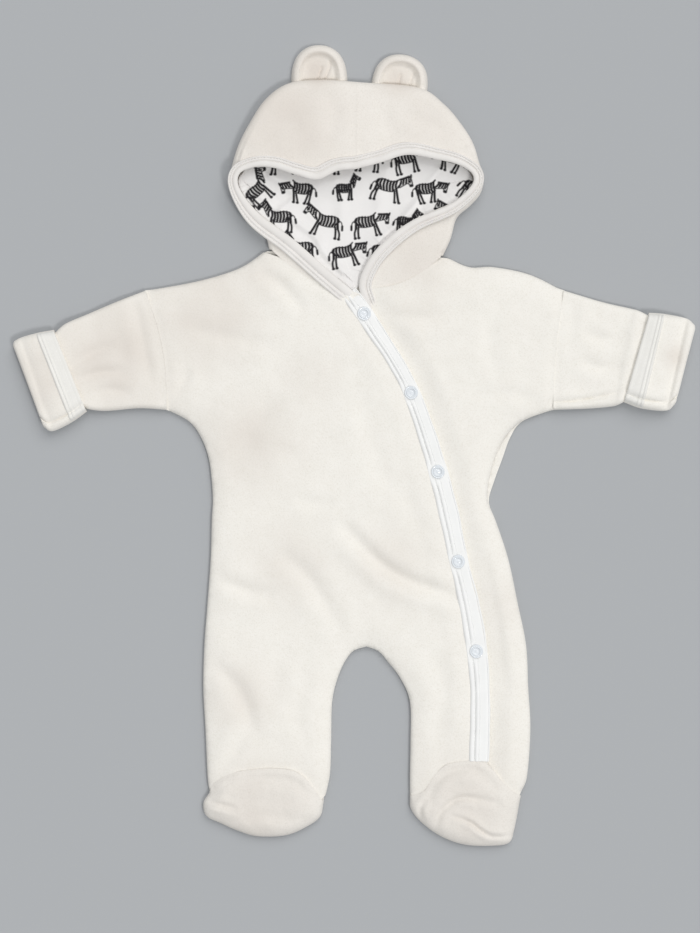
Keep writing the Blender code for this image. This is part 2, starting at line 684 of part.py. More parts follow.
def lining_under(points):
    """The lining drops from the rim to the back of the hood."""
    nearest = LINING_EDGE[np.argmin(np.linalg.norm(
        points[:, None, :2] - LINING_EDGE[None, :, :2], axis=2), axis=1)]
    held = inside(points, LINING_EDGE[:, :2])
    away = distance_to(points, [LINING_EDGE])
    depth = np.where(held, away, 0)
    brim = ramp(nearest[:, 1] - BRIM_Y, 18)
    high = nearest[:, 2] - WALL / 2 - GAP - LINING_WALL - 0.5 - np.where(held, 0, 0.35 * away)
    high = high + (LINING_FLOOR + BRIM_LIFT - high) * brim
    high = np.maximum(high, LINING_FLOOR)
    low = LINING_FLOOR - LINING_DROP
    return low + (high - low) * np.exp(-(depth / LINING_SLOPE) ** 2)


def lining_top(points):
    return lining_under(points) + LINING_WALL


def ear_outline(ear, scale=1.0):
    """A round ear whose base follows the hood's top fold."""
    folds = sorted((row.fold_x, row.fold_y) for row in hood_rows(HOOD_LEFT) + hood_rows(HOOD_RIGHT)
                   if row.fold_y > 300)
    fold_x, fold_y = np.array(folds).T
    base_x = np.linspace(ear.end_x, ear.start_x, 7)
    base_y = np.interp(base_x, fold_x, fold_y) - EAR_TUCK
    start, end = np.array([base_x[-1], base_y[-1]]), np.array([base_x[0], base_y[0]])
    along = (start - end) / np.linalg.norm(start - end)
    up = np.array([-along[1], along[0]])
    middle, half = (start + end) / 2, np.linalg.norm(start - end) / 2
    points = []
    for i in range(1, 20):
        angle = math.pi * i / 20
        across = math.cos(angle) * half * (1 + 0.08 * math.sin(angle) ** 2)
        points.append(middle + along * across + up * math.sin(angle) ** 0.8 * ear.height)
    outline = np.vstack([np.stack([base_x, base_y], axis=1), points])
    centre = middle + up * ear.height * 0.48
    return centre + (outline - centre) * scale


def make_ear(ear):
    outline = ear_outline(ear)
    closed = np.vstack([outline, outline[:1]])
    dish = ear_outline(ear, 0.6)

    def rim_top(points):
        reach = np.clip(distance_to(points, [closed]) / EAR_RIM, 0, 1)
        return 5.0 + (EAR_TOP - 5.0) * np.sqrt(np.clip(1 - (1 - reach) ** 2, 0, 1))

    def sunk_top(points):
        hollow = ramp(distance_to(points, [closed]) - EAR_RIM * 0.8, 4.0)
        return rim_top(points) - 4.4 * hollow * inside(points, outline)

    def inner_under(points):
        return sunk_top(points) + GAP + 1.9

    def inner_top(points):
        return inner_under(points) + LINING_WALL

    panel(ear.name, outline, sunk_top, back_under, 7.0, FLEECE, lip=1.6)
    panel(ear.name + "_inner", dish, inner_top, inner_under, 7.0, FLEECE, lip=1.6)


def make_hood():
    loft("hood_right", hood_half(HOOD_RIGHT), FLEECE, wall=WALL)
    loft("hood_left", hood_half(HOOD_LEFT), FLEECE, wall=WALL)
    panel("hood_lining", lining_outline(), lining_top, lining_under, 13.0, PRINT)
    loft("binding_hood", hood_binding(), JERSEY, ring=True, capped=True)
    for ear in EARS:
        make_ear(ear)


# ---------------------------------------------------------------- front band and snaps
def crushed(points):
    """0 under a snap, which presses the ridges flat, 1 away from it."""
    nearest = np.min([np.hypot(points[:, 0] - x, points[:, 1] - y)
                      for x, y in SNAP_CENTRES], axis=0)
    return ramp(nearest - SNAP_RADIUS - 3.0, 7)


def band_sections():
    line = resample(BAND_CENTRE, 10.0)
    away = normals(line)
    base = FLAP_UNDER + WALL + GAP + 0.3
    sections = []
    for centre, out in zip(line, away):
        half = centre[2]
        profile = [
            (-half, 0.0), (-half, 0.5 * BAND_RIDGE), (-0.84 * half, BAND_RIDGE),
            (-0.62 * half, BAND_RIDGE), (-0.48 * half, 0.55 * BAND_RIDGE),
            (-0.34 * half, BAND_RIDGE), (-0.12 * half, BAND_RIDGE), (0.02 * half, BAND_BASE),
            (0.76 * half, BAND_BASE), (0.84 * half, BAND_EDGE), (0.95 * half, BAND_EDGE),
            (half, 0.6), (half, 0.0), (0.0, 0.0)]
        places = np.array([centre[:2] + out * reach for reach, _ in profile])
        free = crushed(places)
        section = []
        for (reach, z), place, keep in zip(profile, places, free):
            pressed = min(z, BAND_BASE)
            section.append((*place, base + pressed + (z - pressed) * keep))
        sections.append(section)
    return sections


def snap_mesh():
    """A turned cap: domed rim, groove, and a shallow dimple in the middle."""
    profile = [(0.0, 1.35), (2.2, 1.45), (3.3, 1.95), (3.9, 1.95), (4.5, 1.4), (5.3, 1.75),
               (6.0, 1.5), (SNAP_RADIUS, 0.8), (SNAP_RADIUS - 0.3, 0.15), (5.6, 0.0),
               (0.0, 0.0)]
    mesh = bpy.data.meshes.new("snap_profile")
    points = [(r * MM, 0.0, z * MM) for r, z in profile]
    mesh.from_pydata(points, [(i, i + 1) for i in range(len(points) - 1)], [])
    return mesh


def make_band():
    loft("binding_front", band_sections(), JERSEY, ring=True, capped=True)
    base = FLAP_UNDER + WALL + GAP + 0.3 + BAND_BASE + GAP + 0.1
    profile = snap_mesh()
    profile.materials.append(PLASTIC)
    for i, (x, y) in enumerate(SNAP_CENTRES, start=1):
        snap = bpy.data.objects.new("snap_%d" % i, profile)
        SUIT.objects.link(snap)
        snap.location = (x * MM, y * MM, base * MM)
        turned = snap.modifiers.new("turned", "SCREW")
        turned.steps = turned.render_steps = 18
        turned.use_merge_vertices = True
        turned.merge_threshold = 0.00001
        turned.use_normal_calculate = True


# ---------------------------------------------------------------- feet
def make_foot(side, instep, toe, sole_ends):
    arch = spline(instep)
    tip = spline(toe)
    outline = np.vstack([arch, tip[1:-1]])
    free_edge = [tip]

    def sole_top(points):
        return np.full(len(points), WALL)

    def upper_top(points):
        reach = np.clip(distance_to(points, free_edge) / 20.0, 0, 1)
        rolled = 1 - (1 - reach) ** 2.4
        ridge = np.clip(distance_to(points, [arch]) / 6.0, 0, 1)
        low = FRONT_UNDER + EDGE_LIP
        return low + (FOOT_TOP - low) * rolled * (0.72 + 0.28 * ridge)

    def upper_under(points):
        return np.full(len(points), FRONT_UNDER)

    below = tip[tip[:, 1] < SOLE_LINE - GAP * 2]
    heel = [(x, SOLE_LINE - GAP * 2) for x in sole_ends]
    sole = np.vstack([below, heel])
    panel("sole_" + side, sole, sole_top, back_under, 16.0, FLEECE)
    panel("foot_" + side, outline, upper_top, upper_under, 9.0, FLEECE)


def make_feet():
    make_foot("right", INSTEP_RIGHT, TOE_RIGHT, (-136.5, -27.5))
    make_foot("left", INSTEP_LEFT, TOE_LEFT, (157.0, 53.0))


# ---------------------------------------------------------------- build
for old in list(bpy.data.objects):
    bpy.data.objects.remove(old, do_unlink=True)
SUIT = bpy.data.collections.new("baby_snowsuit")
bpy.context.scene.collection.children.link(SUIT)

FLEECE = material("cream_fleece", (0.86, 0.85, 0.80), 0.95)
JERSEY = material("white_jersey", (0.90, 0.90, 0.89), 0.85)
PRINT = material("zebra_print_jersey", (0.88, 0.88, 0.86), 0.85)
PLASTIC = material("white_snap_plastic", (0.90, 0.92, 0.94), 0.3)

make_body()
make_sleeves()
make_hood()
make_band()
make_feet()
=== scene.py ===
# %% [markdown]
# # A baby snowsuit, laid flat
# The construction model holds every cut piece of the suit at its real size. Here each piece gets
# the look of the real cloth: thick brushed fleece, white jersey trim, a printed hood lining and
# glossy plastic snaps. All lengths in the tables are millimetres, and `MM` turns them into metres.

# %% Load the frame
import math
from collections import namedtuple

import bmesh
import bpy
import numpy as np
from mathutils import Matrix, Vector, noise
from mathutils.geometry import delaunay_2d_cdt


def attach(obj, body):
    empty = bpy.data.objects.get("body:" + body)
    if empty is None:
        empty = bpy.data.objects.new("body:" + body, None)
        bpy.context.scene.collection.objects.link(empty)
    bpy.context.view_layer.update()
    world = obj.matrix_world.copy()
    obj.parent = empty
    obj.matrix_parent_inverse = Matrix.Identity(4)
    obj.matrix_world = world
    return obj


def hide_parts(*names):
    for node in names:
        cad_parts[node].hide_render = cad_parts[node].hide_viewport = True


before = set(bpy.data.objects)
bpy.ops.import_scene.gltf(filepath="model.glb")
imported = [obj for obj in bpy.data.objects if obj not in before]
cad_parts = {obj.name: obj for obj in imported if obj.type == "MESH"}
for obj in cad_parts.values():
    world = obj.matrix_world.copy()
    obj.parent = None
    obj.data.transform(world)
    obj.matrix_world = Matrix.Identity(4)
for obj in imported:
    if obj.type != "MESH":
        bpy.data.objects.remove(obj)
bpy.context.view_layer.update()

MM = 0.001

# %% [markdown]
# ## Camera, floor and light
# A garment laid on a table is shown from straight above. A long lens far away keeps the sleeves
# and feet from leaning outwards. The floor is a plain pale grey sheet. A very broad key light
# beyond the hood draws the folds softly. A smaller, steeper light from the lower right leaves a
# thin shadow along the upper left edges. The rest comes evenly from the sky, as in a white studio.

# %% Camera, floor and light
VIEW_HEIGHT = 0.877         # metres of floor that the frame's long side covers
CAMERA_DISTANCE = 2.4
SKY_COLOUR, SKY_STRENGTH = (0.97, 0.985, 1.0, 1), 0.48
LAMP_COLOUR = (1.0, 0.985, 0.965)
FLOOR_GREY = (0.428, 0.444, 0.462, 1)
FLOOR_HALF = 3.0
FLOOR_DROP = 0.0004         # keeps the floor from touching the cloth
VIEW_CENTRE = (-0.0033, -0.0221)
SENSOR = 36.0
Lamp = namedtuple("Lamp", "name strength spread x y z")
LAMPS = [Lamp("key", 1.20, 50, 0.20, 0.56, 0.80), Lamp("side", 0.84, 12, 0.36, -0.38, 0.86)]


def make_camera():
    lens = bpy.data.cameras.new("overhead")
    lens.sensor_width = SENSOR
    lens.lens = SENSOR * CAMERA_DISTANCE / VIEW_HEIGHT
    camera = bpy.data.objects.new("overhead", lens)
    camera.location = (*VIEW_CENTRE, CAMERA_DISTANCE)
    bpy.context.scene.collection.objects.link(camera)
    bpy.context.scene.camera = camera
    print("lens %.0f mm at %.1f m" % (lens.lens, CAMERA_DISTANCE))


def make_light():
    sky = bpy.data.worlds.new("studio")
    sky.use_nodes = True
    sky.node_tree.nodes["Background"].inputs["Color"].default_value = SKY_COLOUR
    sky.node_tree.nodes["Background"].inputs["Strength"].default_value = SKY_STRENGTH
    bpy.context.scene.world = sky
    for lamp in LAMPS:
        light = bpy.data.lights.new(lamp.name, "SUN")
        light.energy = lamp.strength
        light.angle = math.radians(lamp.spread)
        light.color = LAMP_COLOUR
        stand = bpy.data.objects.new(lamp.name, light)
        towards = Vector((lamp.x, lamp.y, lamp.z))
        stand.rotation_euler = towards.to_track_quat("Z", "Y").to_euler()
        bpy.context.scene.collection.objects.link(stand)
    bpy.context.scene.view_settings.view_transform = "Standard"
    print("lamps:", ", ".join(lamp.name for lamp in LAMPS))


def make_floor():
    mesh = bpy.data.meshes.new("floor")
    half = FLOOR_HALF
    mesh.from_pydata([(-half, -half, 0), (half, -half, 0), (half, half, 0), (-half, half, 0)],
                     [], [(0, 1, 2, 3)])
    floor = bpy.data.objects.new("floor", mesh)
    floor.location.z = -FLOOR_DROP
    bpy.context.scene.collection.objects.link(floor)
    paint = bpy.data.materials.new("floor_grey")
    paint.use_nodes = True
    shader = paint.node_tree.nodes["Principled BSDF"]
    shader.inputs["Base Color"].default_value = FLOOR_GREY
    shader.inputs["Roughness"].default_value = 0.9
    shader.inputs["Specular IOR Level"].default_value = 0.1
    mesh.materials.append(paint)


make_camera()
make_light()
make_floor()

# %% [markdown]
# ## Shared effects
# Fleece is a knitted ground with a brushed pile: from a little way off it is matt, softly
# mottled, and pitted where the pile clumps. One node group makes that pattern for every fleece
# piece. A second group makes the fine ribs of jersey from the strip's own UV map.

# %% Shader node groups
def new_group(name, inputs, outputs):
    group = bpy.data.node_groups.new(name, "ShaderNodeTree")
    for label, value in inputs:
        socket = group.interface.new_socket(label, in_out="INPUT", socket_type="NodeSocketFloat")
        socket.default_value = value
    for label, kind in outputs:
        group.interface.new_socket(label, in_out="OUTPUT", socket_type=kind)
    start = group.nodes.new("NodeGroupInput")
    end = group.nodes.new("NodeGroupOutput")
    return group, start, end


def add_node(tree, kind, **values):
    node = tree.nodes.new(kind)
    for key, value in values.items():
        if key in node.inputs:
            node.inputs[key].default_value = value
        else:
            setattr(node, key, value)
    return node


def math_node(tree, operation, a, b):
    node = tree.nodes.new("ShaderNodeMath")
    node.operation = operation
    for slot, value in zip(node.inputs, (a, b)):
        if isinstance(value, (int, float)):
            slot.default_value = value
        else:
            tree.links.new(value, slot)
    return node.outputs[0]


def make_nap_group():
    """Fleece pile: clumps about a millimetre across over broader soft patches."""
    group, start, end = new_group(
        "brushed_nap", [("Clump size", 1.3), ("Patch size", 14.0)],
        [("Height", "NodeSocketFloat"), ("Patch", "NodeSocketFloat"),
         ("Pit", "NodeSocketFloat")])
    place = add_node(group, "ShaderNodeTexCoord").outputs["Object"]
    clump_scale = math_node(group, "DIVIDE", 1000.0, start.outputs["Clump size"])
    patch_scale = math_node(group, "DIVIDE", 1000.0, start.outputs["Patch size"])
    clumps = add_node(group, "ShaderNodeTexNoise", Detail=3.0, Roughness=0.6, Distortion=0.6)
    curls = add_node(group, "ShaderNodeTexNoise", Detail=2.0, Roughness=0.5, Distortion=1.5)
    patches = add_node(group, "ShaderNodeTexNoise", Detail=4.0, Roughness=0.55)
    for node, scale in ((clumps, clump_scale), (patches, patch_scale),
                        (curls, math_node(group, "MULTIPLY", clump_scale, 0.42))):
        group.links.new(place, node.inputs["Vector"])
        group.links.new(scale, node.inputs["Scale"])
    fine = math_node(group, "MULTIPLY", clumps.outputs[0], 0.6)
    broad = math_node(group, "MULTIPLY", curls.outputs[0], 0.6)
    group.links.new(math_node(group, "ADD", fine, broad), end.inputs["Height"])
    group.links.new(patches.outputs[0], end.inputs["Patch"])
    pit = add_node(group, "ShaderNodeMapRange")
    pit.inputs["From Min"].default_value = 0.30
    pit.inputs["From Max"].default_value = 0.52
    group.links.new(clumps.outputs[0], pit.inputs["Value"])
    group.links.new(pit.outputs[0], end.inputs["Pit"])
    return group


def make_rib_group():
    """Jersey knit: thin columns of stitches across the strip, from its UV map."""
    group, start, end = new_group(
        "jersey_rib", [("Column width", 0.9)],
        [("Height", "NodeSocketFloat"), ("Patch", "NodeSocketFloat")])
    across = add_node(group, "ShaderNodeSeparateXYZ")
    uv = add_node(group, "ShaderNodeTexCoord").outputs["UV"]
    group.links.new(uv, across.inputs[0])
    turns = math_node(group, "DIVIDE", 2000 * math.pi, start.outputs["Column width"])
    wave = math_node(group, "SINE", math_node(group, "MULTIPLY", across.outputs[0], turns), 0.0)
    fuzz = add_node(group, "ShaderNodeTexNoise", Scale=900.0, Detail=2.0)
    soft = add_node(group, "ShaderNodeTexNoise", Scale=70.0, Detail=3.0)
    place = add_node(group, "ShaderNodeTexCoord").outputs["Object"]
    group.links.new(place, fuzz.inputs["Vector"])
    group.links.new(place, soft.inputs["Vector"])
    total = math_node(group, "ADD", math_node(group, "MULTIPLY", wave, 0.35), fuzz.outputs[0])
    group.links.new(total, end.inputs["Height"])
    group.links.new(soft.outputs[0], end.inputs["Patch"])
    return group


NAP = make_nap_group()
RIB = make_rib_group()
print("node groups:", NAP.name, RIB.name)

# %% [markdown]
# ## Finishes
# Each cloth is a Principled shader. The colour runs between two close shades, so no surface is
# dead flat, and a little sheen stands for the fibre ends that catch light at the edges.

# %% Materials
def blend_colours(tree, factor, low, high):
    mix = tree.nodes.new("ShaderNodeMix")
    mix.data_type = "RGBA"
    mix.inputs["A"].default_value = (*low, 1)
    mix.inputs["B"].default_value = (*high, 1)
    tree.links.new(factor, mix.inputs["Factor"])
    return mix.outputs["Result"]


def start_material(name, roughness, sheen=0.0, specular=0.3):
    made = bpy.data.materials.new(name)
    made.use_nodes = True
    tree = made.node_tree
    shader = tree.nodes["Principled BSDF"]
    shader.inputs["Roughness"].default_value = roughness
    shader.inputs["Specular IOR Level"].default_value = specular
    shader.inputs["Sheen Weight"].default_value = sheen
    shader.inputs["Sheen Roughness"].default_value = 0.45
    return made, tree, shader


def add_bump(tree, shader, height, distance, strength):
    bump = tree.nodes.new("ShaderNodeBump")
    bump.inputs["Distance"].default_value = distance * MM
    bump.inputs["Strength"].default_value = strength
    tree.links.new(height, bump.inputs["Height"])
    tree.links.new(bump.outputs["Normal"], shader.inputs["Normal"])


def add_group(tree, group, **values):
    node = tree.nodes.new("ShaderNodeGroup")
    node.node_tree = group
    for label, value in values.items():
        node.inputs[label.replace("_", " ")].default_value = value
    return node


PAINTED_SHADE_TONE = (0.700, 0.640, 0.585)     # the warmer, darker tone of painted shade


def fleece(name, shade, light, relief=0.55):
    made, tree, shader = start_material(name, 0.95, sheen=0.12, specular=0.12)
    nap = add_group(tree, NAP, Clump_size=1.3, Patch_size=14.0)
    tone = math_node(tree, "ADD", math_node(tree, "MULTIPLY", nap.outputs["Patch"], 0.45),
                     math_node(tree, "MULTIPLY", nap.outputs["Pit"], 0.55))
    # Painted shade: where the attribute says so, the colour turns to the warmer, darker tone.
    painted_shade = tree.nodes.new("ShaderNodeAttribute")
    painted_shade.attribute_name = "painted_shade"
    lay = tree.nodes.new("ShaderNodeMix")
    lay.data_type = "RGBA"
    lay.inputs["B"].default_value = (*PAINTED_SHADE_TONE, 1)
    tree.links.new(blend_colours(tree, tone, shade, light), lay.inputs["A"])
    tree.links.new(painted_shade.outputs["Fac"], lay.inputs["Factor"])
    tree.links.new(lay.outputs["Result"], shader.inputs["Base Color"])
    add_bump(tree, shader, nap.outputs["Height"], relief, 0.55)
    return made


def jersey(name, shade, light, column=0.9):
    made, tree, shader = start_material(name, 0.85, sheen=0.06, specular=0.2)
    rib = add_group(tree, RIB, Column_width=column)
    tree.links.new(blend_colours(tree, rib.outputs["Patch"], shade, light),
                   shader.inputs["Base Color"])
    add_bump(tree, shader, rib.outputs["Height"], 0.12, 0.35)
    return made


FLEECE = fleece("cream_fleece", (0.795, 0.765, 0.700), (0.925, 0.905, 0.860))
# The hood and the ear pads wear a darker, warmer copy of the cream fleece: painted shade.
SHADED_HOOD_FLEECE = fleece("hood_fleece_painted_shade", (0.760, 0.720, 0.665), (0.900, 0.868, 0.820))
JERSEY = jersey("white_jersey", (0.86, 0.865, 0.86), (0.93, 0.935, 0.93))
HOOD_JERSEY = jersey("hood_jersey", (0.765, 0.740, 0.715), (0.865, 0.845, 0.822))
CUFF_JERSEY = jersey("cuff_jersey", (0.79, 0.78, 0.745), (0.88, 0.87, 0.84))
THREAD = jersey("white_thread", (0.84, 0.84, 0.83), (0.95, 0.95, 0.94), column=0.4)
print("materials:", FLEECE.name, SHADED_HOOD_FLEECE.name, JERSEY.name, THREAD.name)

# %% [markdown]
# ## Drawing tools
# A garment is drawn like a paper pattern: a few named points for each line, and a smooth curve
# through them. These helpers draw the curves, measure how far a point is from a line, and tell
# whether it lies inside an outline. NumPy does the sums for thousands of points at once.

# %% Curves and distances
def spline(points, per_span=8):
    """A Catmull-Rom curve through the points; every column is carried along."""
    points = np.asarray(points, float)
    padded = np.vstack([2 * points[0] - points[1], points, 2 * points[-1] - points[-2]])
    curve = []
    for i in range(len(points) - 1):
        a, b, c, d = padded[i:i + 4]
        for t in np.linspace(0, 1, per_span, endpoint=False):
            curve.append(0.5 * (2 * b + (c - a) * t + (2 * a - 5 * b + 4 * c - d) * t ** 2
                                + (3 * b - a - 3 * c + d) * t ** 3))
    curve.append(points[-1])
    return np.array(curve)


def resample(points, step):
    """Evenly spaced points along a polyline."""
    points = np.asarray(points, float)
    lengths = np.linalg.norm(np.diff(points[:, :2], axis=0), axis=1)
    along = np.concatenate([[0], np.cumsum(lengths)])
    count = max(2, int(math.ceil(along[-1] / step)) + 1)
    wanted = np.linspace(0, along[-1], count)
    return np.stack([np.interp(wanted, along, column) for column in points.T], axis=1)


def normals(line):
    """Unit normals of a polyline, to the left of its run."""
    run = np.gradient(line[:, :2], axis=0)
    run /= np.linalg.norm(run, axis=1)[:, None]
    return np.stack([-run[:, 1], run[:, 0]], axis=1)


def shifted(line, distance):
    return line[:, :2] + normals(line) * distance


def distance_to(points, lines):
    """Distance from each point to the nearest of several polylines."""
    points = np.asarray(points, float)[:, :2]
    best = np.full(len(points), 1e9)
    for line in lines:
        for start, end in zip(line[:-1, :2], line[1:, :2]):
            run = end - start
            t = np.clip(((points - start) @ run) / max(run @ run, 1e-12), 0, 1)
            gap = points - start - t[:, None] * run
            best = np.minimum(best, gap[:, 0] ** 2 + gap[:, 1] ** 2)
    return np.sqrt(best)


def inside(points, outline):
    x, y = points[:, 0], points[:, 1]
    result = np.zeros(len(points), bool)
    ends = np.roll(outline, -1, axis=0)
    for (x0, y0), (x1, y1) in zip(outline[:, :2], ends[:, :2]):
        if y0 != y1:
            crosses = (y0 > y) != (y1 > y)
            result ^= crosses & (x < (x1 - x0) * (y - y0) / (y1 - y0) + x0)
    return result


def ramp(value, width):
    """0 at 0, rising smoothly to 1 at width."""
    t = np.clip(value / width, 0, 1)
    return t * t * (3 - 2 * t)


def bell(value, width):
    return np.exp(-(value / width) ** 2)


def even_outline(outline, step, corner=0.4):
    """A closed outline with evenly spaced points that keeps its corners."""
    outline = outline[np.linalg.norm(outline - np.roll(outline, 1, axis=0), axis=1) > 0.05]
    before = outline - np.roll(outline, 1, axis=0)
    after = np.roll(outline, -1, axis=0) - outline
    turn = np.arctan2(before[:, 0] * after[:, 1] - before[:, 1] * after[:, 0],
                      np.sum(before * after, axis=1))
    corners = np.flatnonzero(np.abs(turn) > corner)
    if len(corners) == 0:
        corners = np.array([0])
    outline = np.roll(outline, -corners[0], axis=0)
    ends = list(corners - corners[0]) + [len(outline)]
    closed = np.vstack([outline, outline[:1]])
    pieces = [resample(closed[a:b + 1], step)[:-1] for a, b in zip(ends[:-1], ends[1:])]
    return np.vstack(pieces)


print("curve through 3 points:", len(spline([(0, 0), (1, 2), (3, 3)])), "points")

# %% [markdown]
# ## The suit's lines
# The side seams, inner leg seams, shoulder, front band, sleeves, cuffs, hood and feet are the
# same lines that the pattern cutter would draw. Each table has one named row for each level.
# Sides are the wearer's own, so the wearer's right is at negative X.

# %% Body lines
WALL = 3.2
LINING_WALL = 1.0
BACK_TOP = WALL
SEAM_GAP = 0.1              # what is left between two layers that lie on each other
FRONT_UNDER = BACK_TOP + SEAM_GAP
FLAP_UNDER = FRONT_UNDER + WALL + SEAM_GAP
EDGE_LIFT = 2.4             # the front's height above the back where its edge turns down
LEAST_LIFT = 2.2            # no trough goes lower than this above the back
EDGE_ROLL = 24.0            # how far in from a side seam the body reaches its full height
BODY_TOP = 10.2
UNDERLAP = 14.0             # how far the left front runs in under the flap

Level = namedtuple("Level", "y right_side left_side peek")
BODY = [
    Level(31, -174, 186, 0), Level(20, -154, 158, 1), Level(5, -143, 147, 5),
    Level(-14, -136, 140, 7), Level(-36, -133, 132, 5), Level(-55, -132, 127, 1),
    Level(-72, -133, 133, 0), Level(-108, -134, 145, 0), Level(-150, -137, 154, 0),
    Level(-190, -140, 162, 0), Level(-230, -141, 164, 0), Level(-268, -139, 166, 0),
    Level(-312, -137, 163, 0), Level(-328, -135, 157, 0),
]
CROTCH = (12, -191)
LegLevel = namedtuple("LegLevel", "y right_leg left_leg")
LEGS = [
    LegLevel(-195, 0, 23), LegLevel(-205, -8, 32), LegLevel(-221, -15, 44),
    LegLevel(-243, -20, 53), LegLevel(-280, -21, 53.5), LegLevel(-310, -22, 53),
    LegLevel(-330, -26, 53),
]
BandPoint = namedtuple("BandPoint", "x y half_width")
BAND = [
    BandPoint(-1, 136, 8.2), BandPoint(10, 121, 8.2), BandPoint(21, 104, 8.0),
    BandPoint(38, 78, 7.8), BandPoint(53, 50, 7.8), BandPoint(67, 12, 8.6),
    BandPoint(79, -27, 9.4), BandPoint(89, -66, 9.4), BandPoint(98.5, -111, 9.2),
    BandPoint(108, -150, 9.8), BandPoint(115.5, -195, 9.9), BandPoint(118.5, -240, 9.6),
    BandPoint(117.5, -298, 9.4),
]
SNAP_CENTRES = [(10, 121), (54, 47), (79, -27), (98, -111), (115, -195)]
SNAP_RADIUS = 6.4
SHOULDER_RIGHT = [(-79, 183), (-101, 167), (-123, 158), (-154, 150), (-194, 143)]
SHOULDER_LEFT = [(84, 176), (108, 165), (131, 165), (165, 158), (196, 143)]

# %% Sleeve, cuff, hood and foot lines
SleeveSection = namedtuple("SleeveSection", "top_x top_y low_x low_y bulge floor height")
SLEEVE_RIGHT = [
    SleeveSection(-195.2, 143, -175.2, 31, 7, 0, 9.9),
    SleeveSection(-221, 133, -201, 32.5, 4, 0, 10.2),
    SleeveSection(-249, 121, -231, 30, 2, 0.3, 10.0),
    SleeveSection(-270, 111.5, -247, 31.5, 0, 3.0, 9.4),
    SleeveSection(-284, 100, -257, 35, 0, 3.5, 8.8),
    SleeveSection(-309, 91, -282, 26, 0, 3.5, 8.8),
]
SLEEVE_LEFT = [
    SleeveSection(197.2, 143, 187.2, 31, -3, 0, 9.9),
    SleeveSection(234, 132, 217, 32, -2, 0, 10.2),
    SleeveSection(258, 126.5, 241, 34, -1, 0.3, 10.0),
    SleeveSection(268, 123.5, 249, 36.5, 0, 3.0, 9.4),
    SleeveSection(283, 116, 261, 43, 0, 3.5, 8.8),
    SleeveSection(310, 106, 291, 46, 0, 3.5, 8.8),
]
CuffSection = namedtuple("CuffSection", "top_x top_y low_x low_y bulge height")
CUFF_RIGHT = [
    CuffSection(-281, 106, -250, 29, 0, 16.0),
    CuffSection(-297, 103, -264, 19, 0, 16.8),
    CuffSection(-311, 99, -281, 11, 0, 16.4),
    CuffSection(-317, 96, -288, 14, 0, 15.0),
]
CUFF_LEFT = [
    CuffSection(277, 122, 253, 38, 0, 16.0),
    CuffSection(291, 121, 270, 32, 0, 16.8),
    CuffSection(311, 117, 292, 30, 0, 16.4),
    CuffSection(318, 112, 299, 35, 0, 15.0),
]
HoodSection = namedtuple(
    "HoodSection", "edge_x edge_y edge_z fold_x fold_y fold_z dip facing binding")
HOOD_SEAM_X = 3.5
HOOD_RIGHT = [
    HoodSection(0, 142, 8.8, -79, 183, 5.0, 9, 8, 7),
    HoodSection(-24, 162, 9.6, -83, 196, 5.6, 3, 8, 7),
    HoodSection(-57, 191, 11.0, -97, 212, 6.4, 0, 8, 7),
    HoodSection(-88, 214, 13.0, -109, 228, 7.2, 0, 6, 8),
    HoodSection(-106, 237, 15.0, -116, 245, 8.0, 0, 2, 8),
    HoodSection(-106, 251, 16.6, -114, 258, 8.4, 0, 0, 9),
    HoodSection(-91, 257, 18.2, -108, 278, 8.4, 0, 0, 10),
    HoodSection(-74, 256, 19.4, -98, 298, 8.4, 0, 0, 11),
    HoodSection(-55, 250, 20.2, -82, 322, 8.4, 0, 0, 11),
    HoodSection(-34, 245, 20.4, -60, 337, 8.4, 0, 0, 12),
    HoodSection(-15, 253, 20.8, -28, 340, 8.4, 0, 0, 12),
    HoodSection(3.9, 255, 21.0, 3.9, 338, 8.4, 0, 0, 12),
]
HOOD_LEFT = [
    HoodSection(5, 147, 6.6, 84, 177, 5.0, 12, 4, 8),
    HoodSection(12, 168, 9.0, 91, 192, 5.6, 4, 4, 8),
    HoodSection(28, 188, 11.0, 97, 212, 6.4, 0, 4, 8),
    HoodSection(55, 208, 12.6, 110, 224, 7.2, 0, 3, 8),
    HoodSection(90, 223, 14.2, 119, 235, 7.8, 0, 2, 8),
    HoodSection(109, 239, 15.4, 122, 250, 8.2, 0, 1, 8),
    HoodSection(111, 250, 16.6, 117, 263, 8.4, 0, 0, 9),
    HoodSection(98, 259, 18.2, 112, 280, 8.4, 0, 0, 10),
    HoodSection(77, 264, 19.4, 102, 297, 8.4, 0, 0, 11),
    HoodSection(50, 268, 20.4, 85, 317, 8.4, 0, 0, 12),
    HoodSection(26, 261, 20.8, 60, 333, 8.4, 0, 0, 12),
    HoodSection(3.1, 255, 21.0, 3.1, 338, 8.4, 0, 0, 12),
]
BACK_NECK_Y = 183.0
Ear = namedtuple("Ear", "name start_x end_x height")
EARS = [Ear("ear_right", -5.5, -58.5, 37.0), Ear("ear_left", 69.0, 16.5, 33.0)]
INSTEP_RIGHT = [(-135, -328), (-130, -318), (-113, -309), (-86, -305), (-60, -306),
                (-46, -313), (-36, -325), (-28, -337)]
TOE_RIGHT = [(-28, -337), (-31, -350), (-42, -359), (-63, -368), (-90, -369), (-108, -364),
             (-124, -357), (-138, -350), (-141, -338), (-135, -328)]
INSTEP_LEFT = [(157, -331), (144, -322), (133, -309), (122, -299), (103, -298), (86, -302),
               (75, -313), (66, -326), (53, -331)]
TOE_LEFT = [(53, -331), (54, -344), (66, -358), (84, -370), (105, -377), (130, -378),
            (146, -375), (151, -362), (157, -331)]
FOOT_TOP = 15.0
SOLE_LINE = -331.0


# %% Lines drawn from the tables
def side_line(column, inset=0.0):
    return spline([(getattr(row, column) - inset * row.peek, row.y) for row in BODY])


def leg_line(column):
    return spline([CROTCH] + [(getattr(row, column), row.y) for row in LEGS])


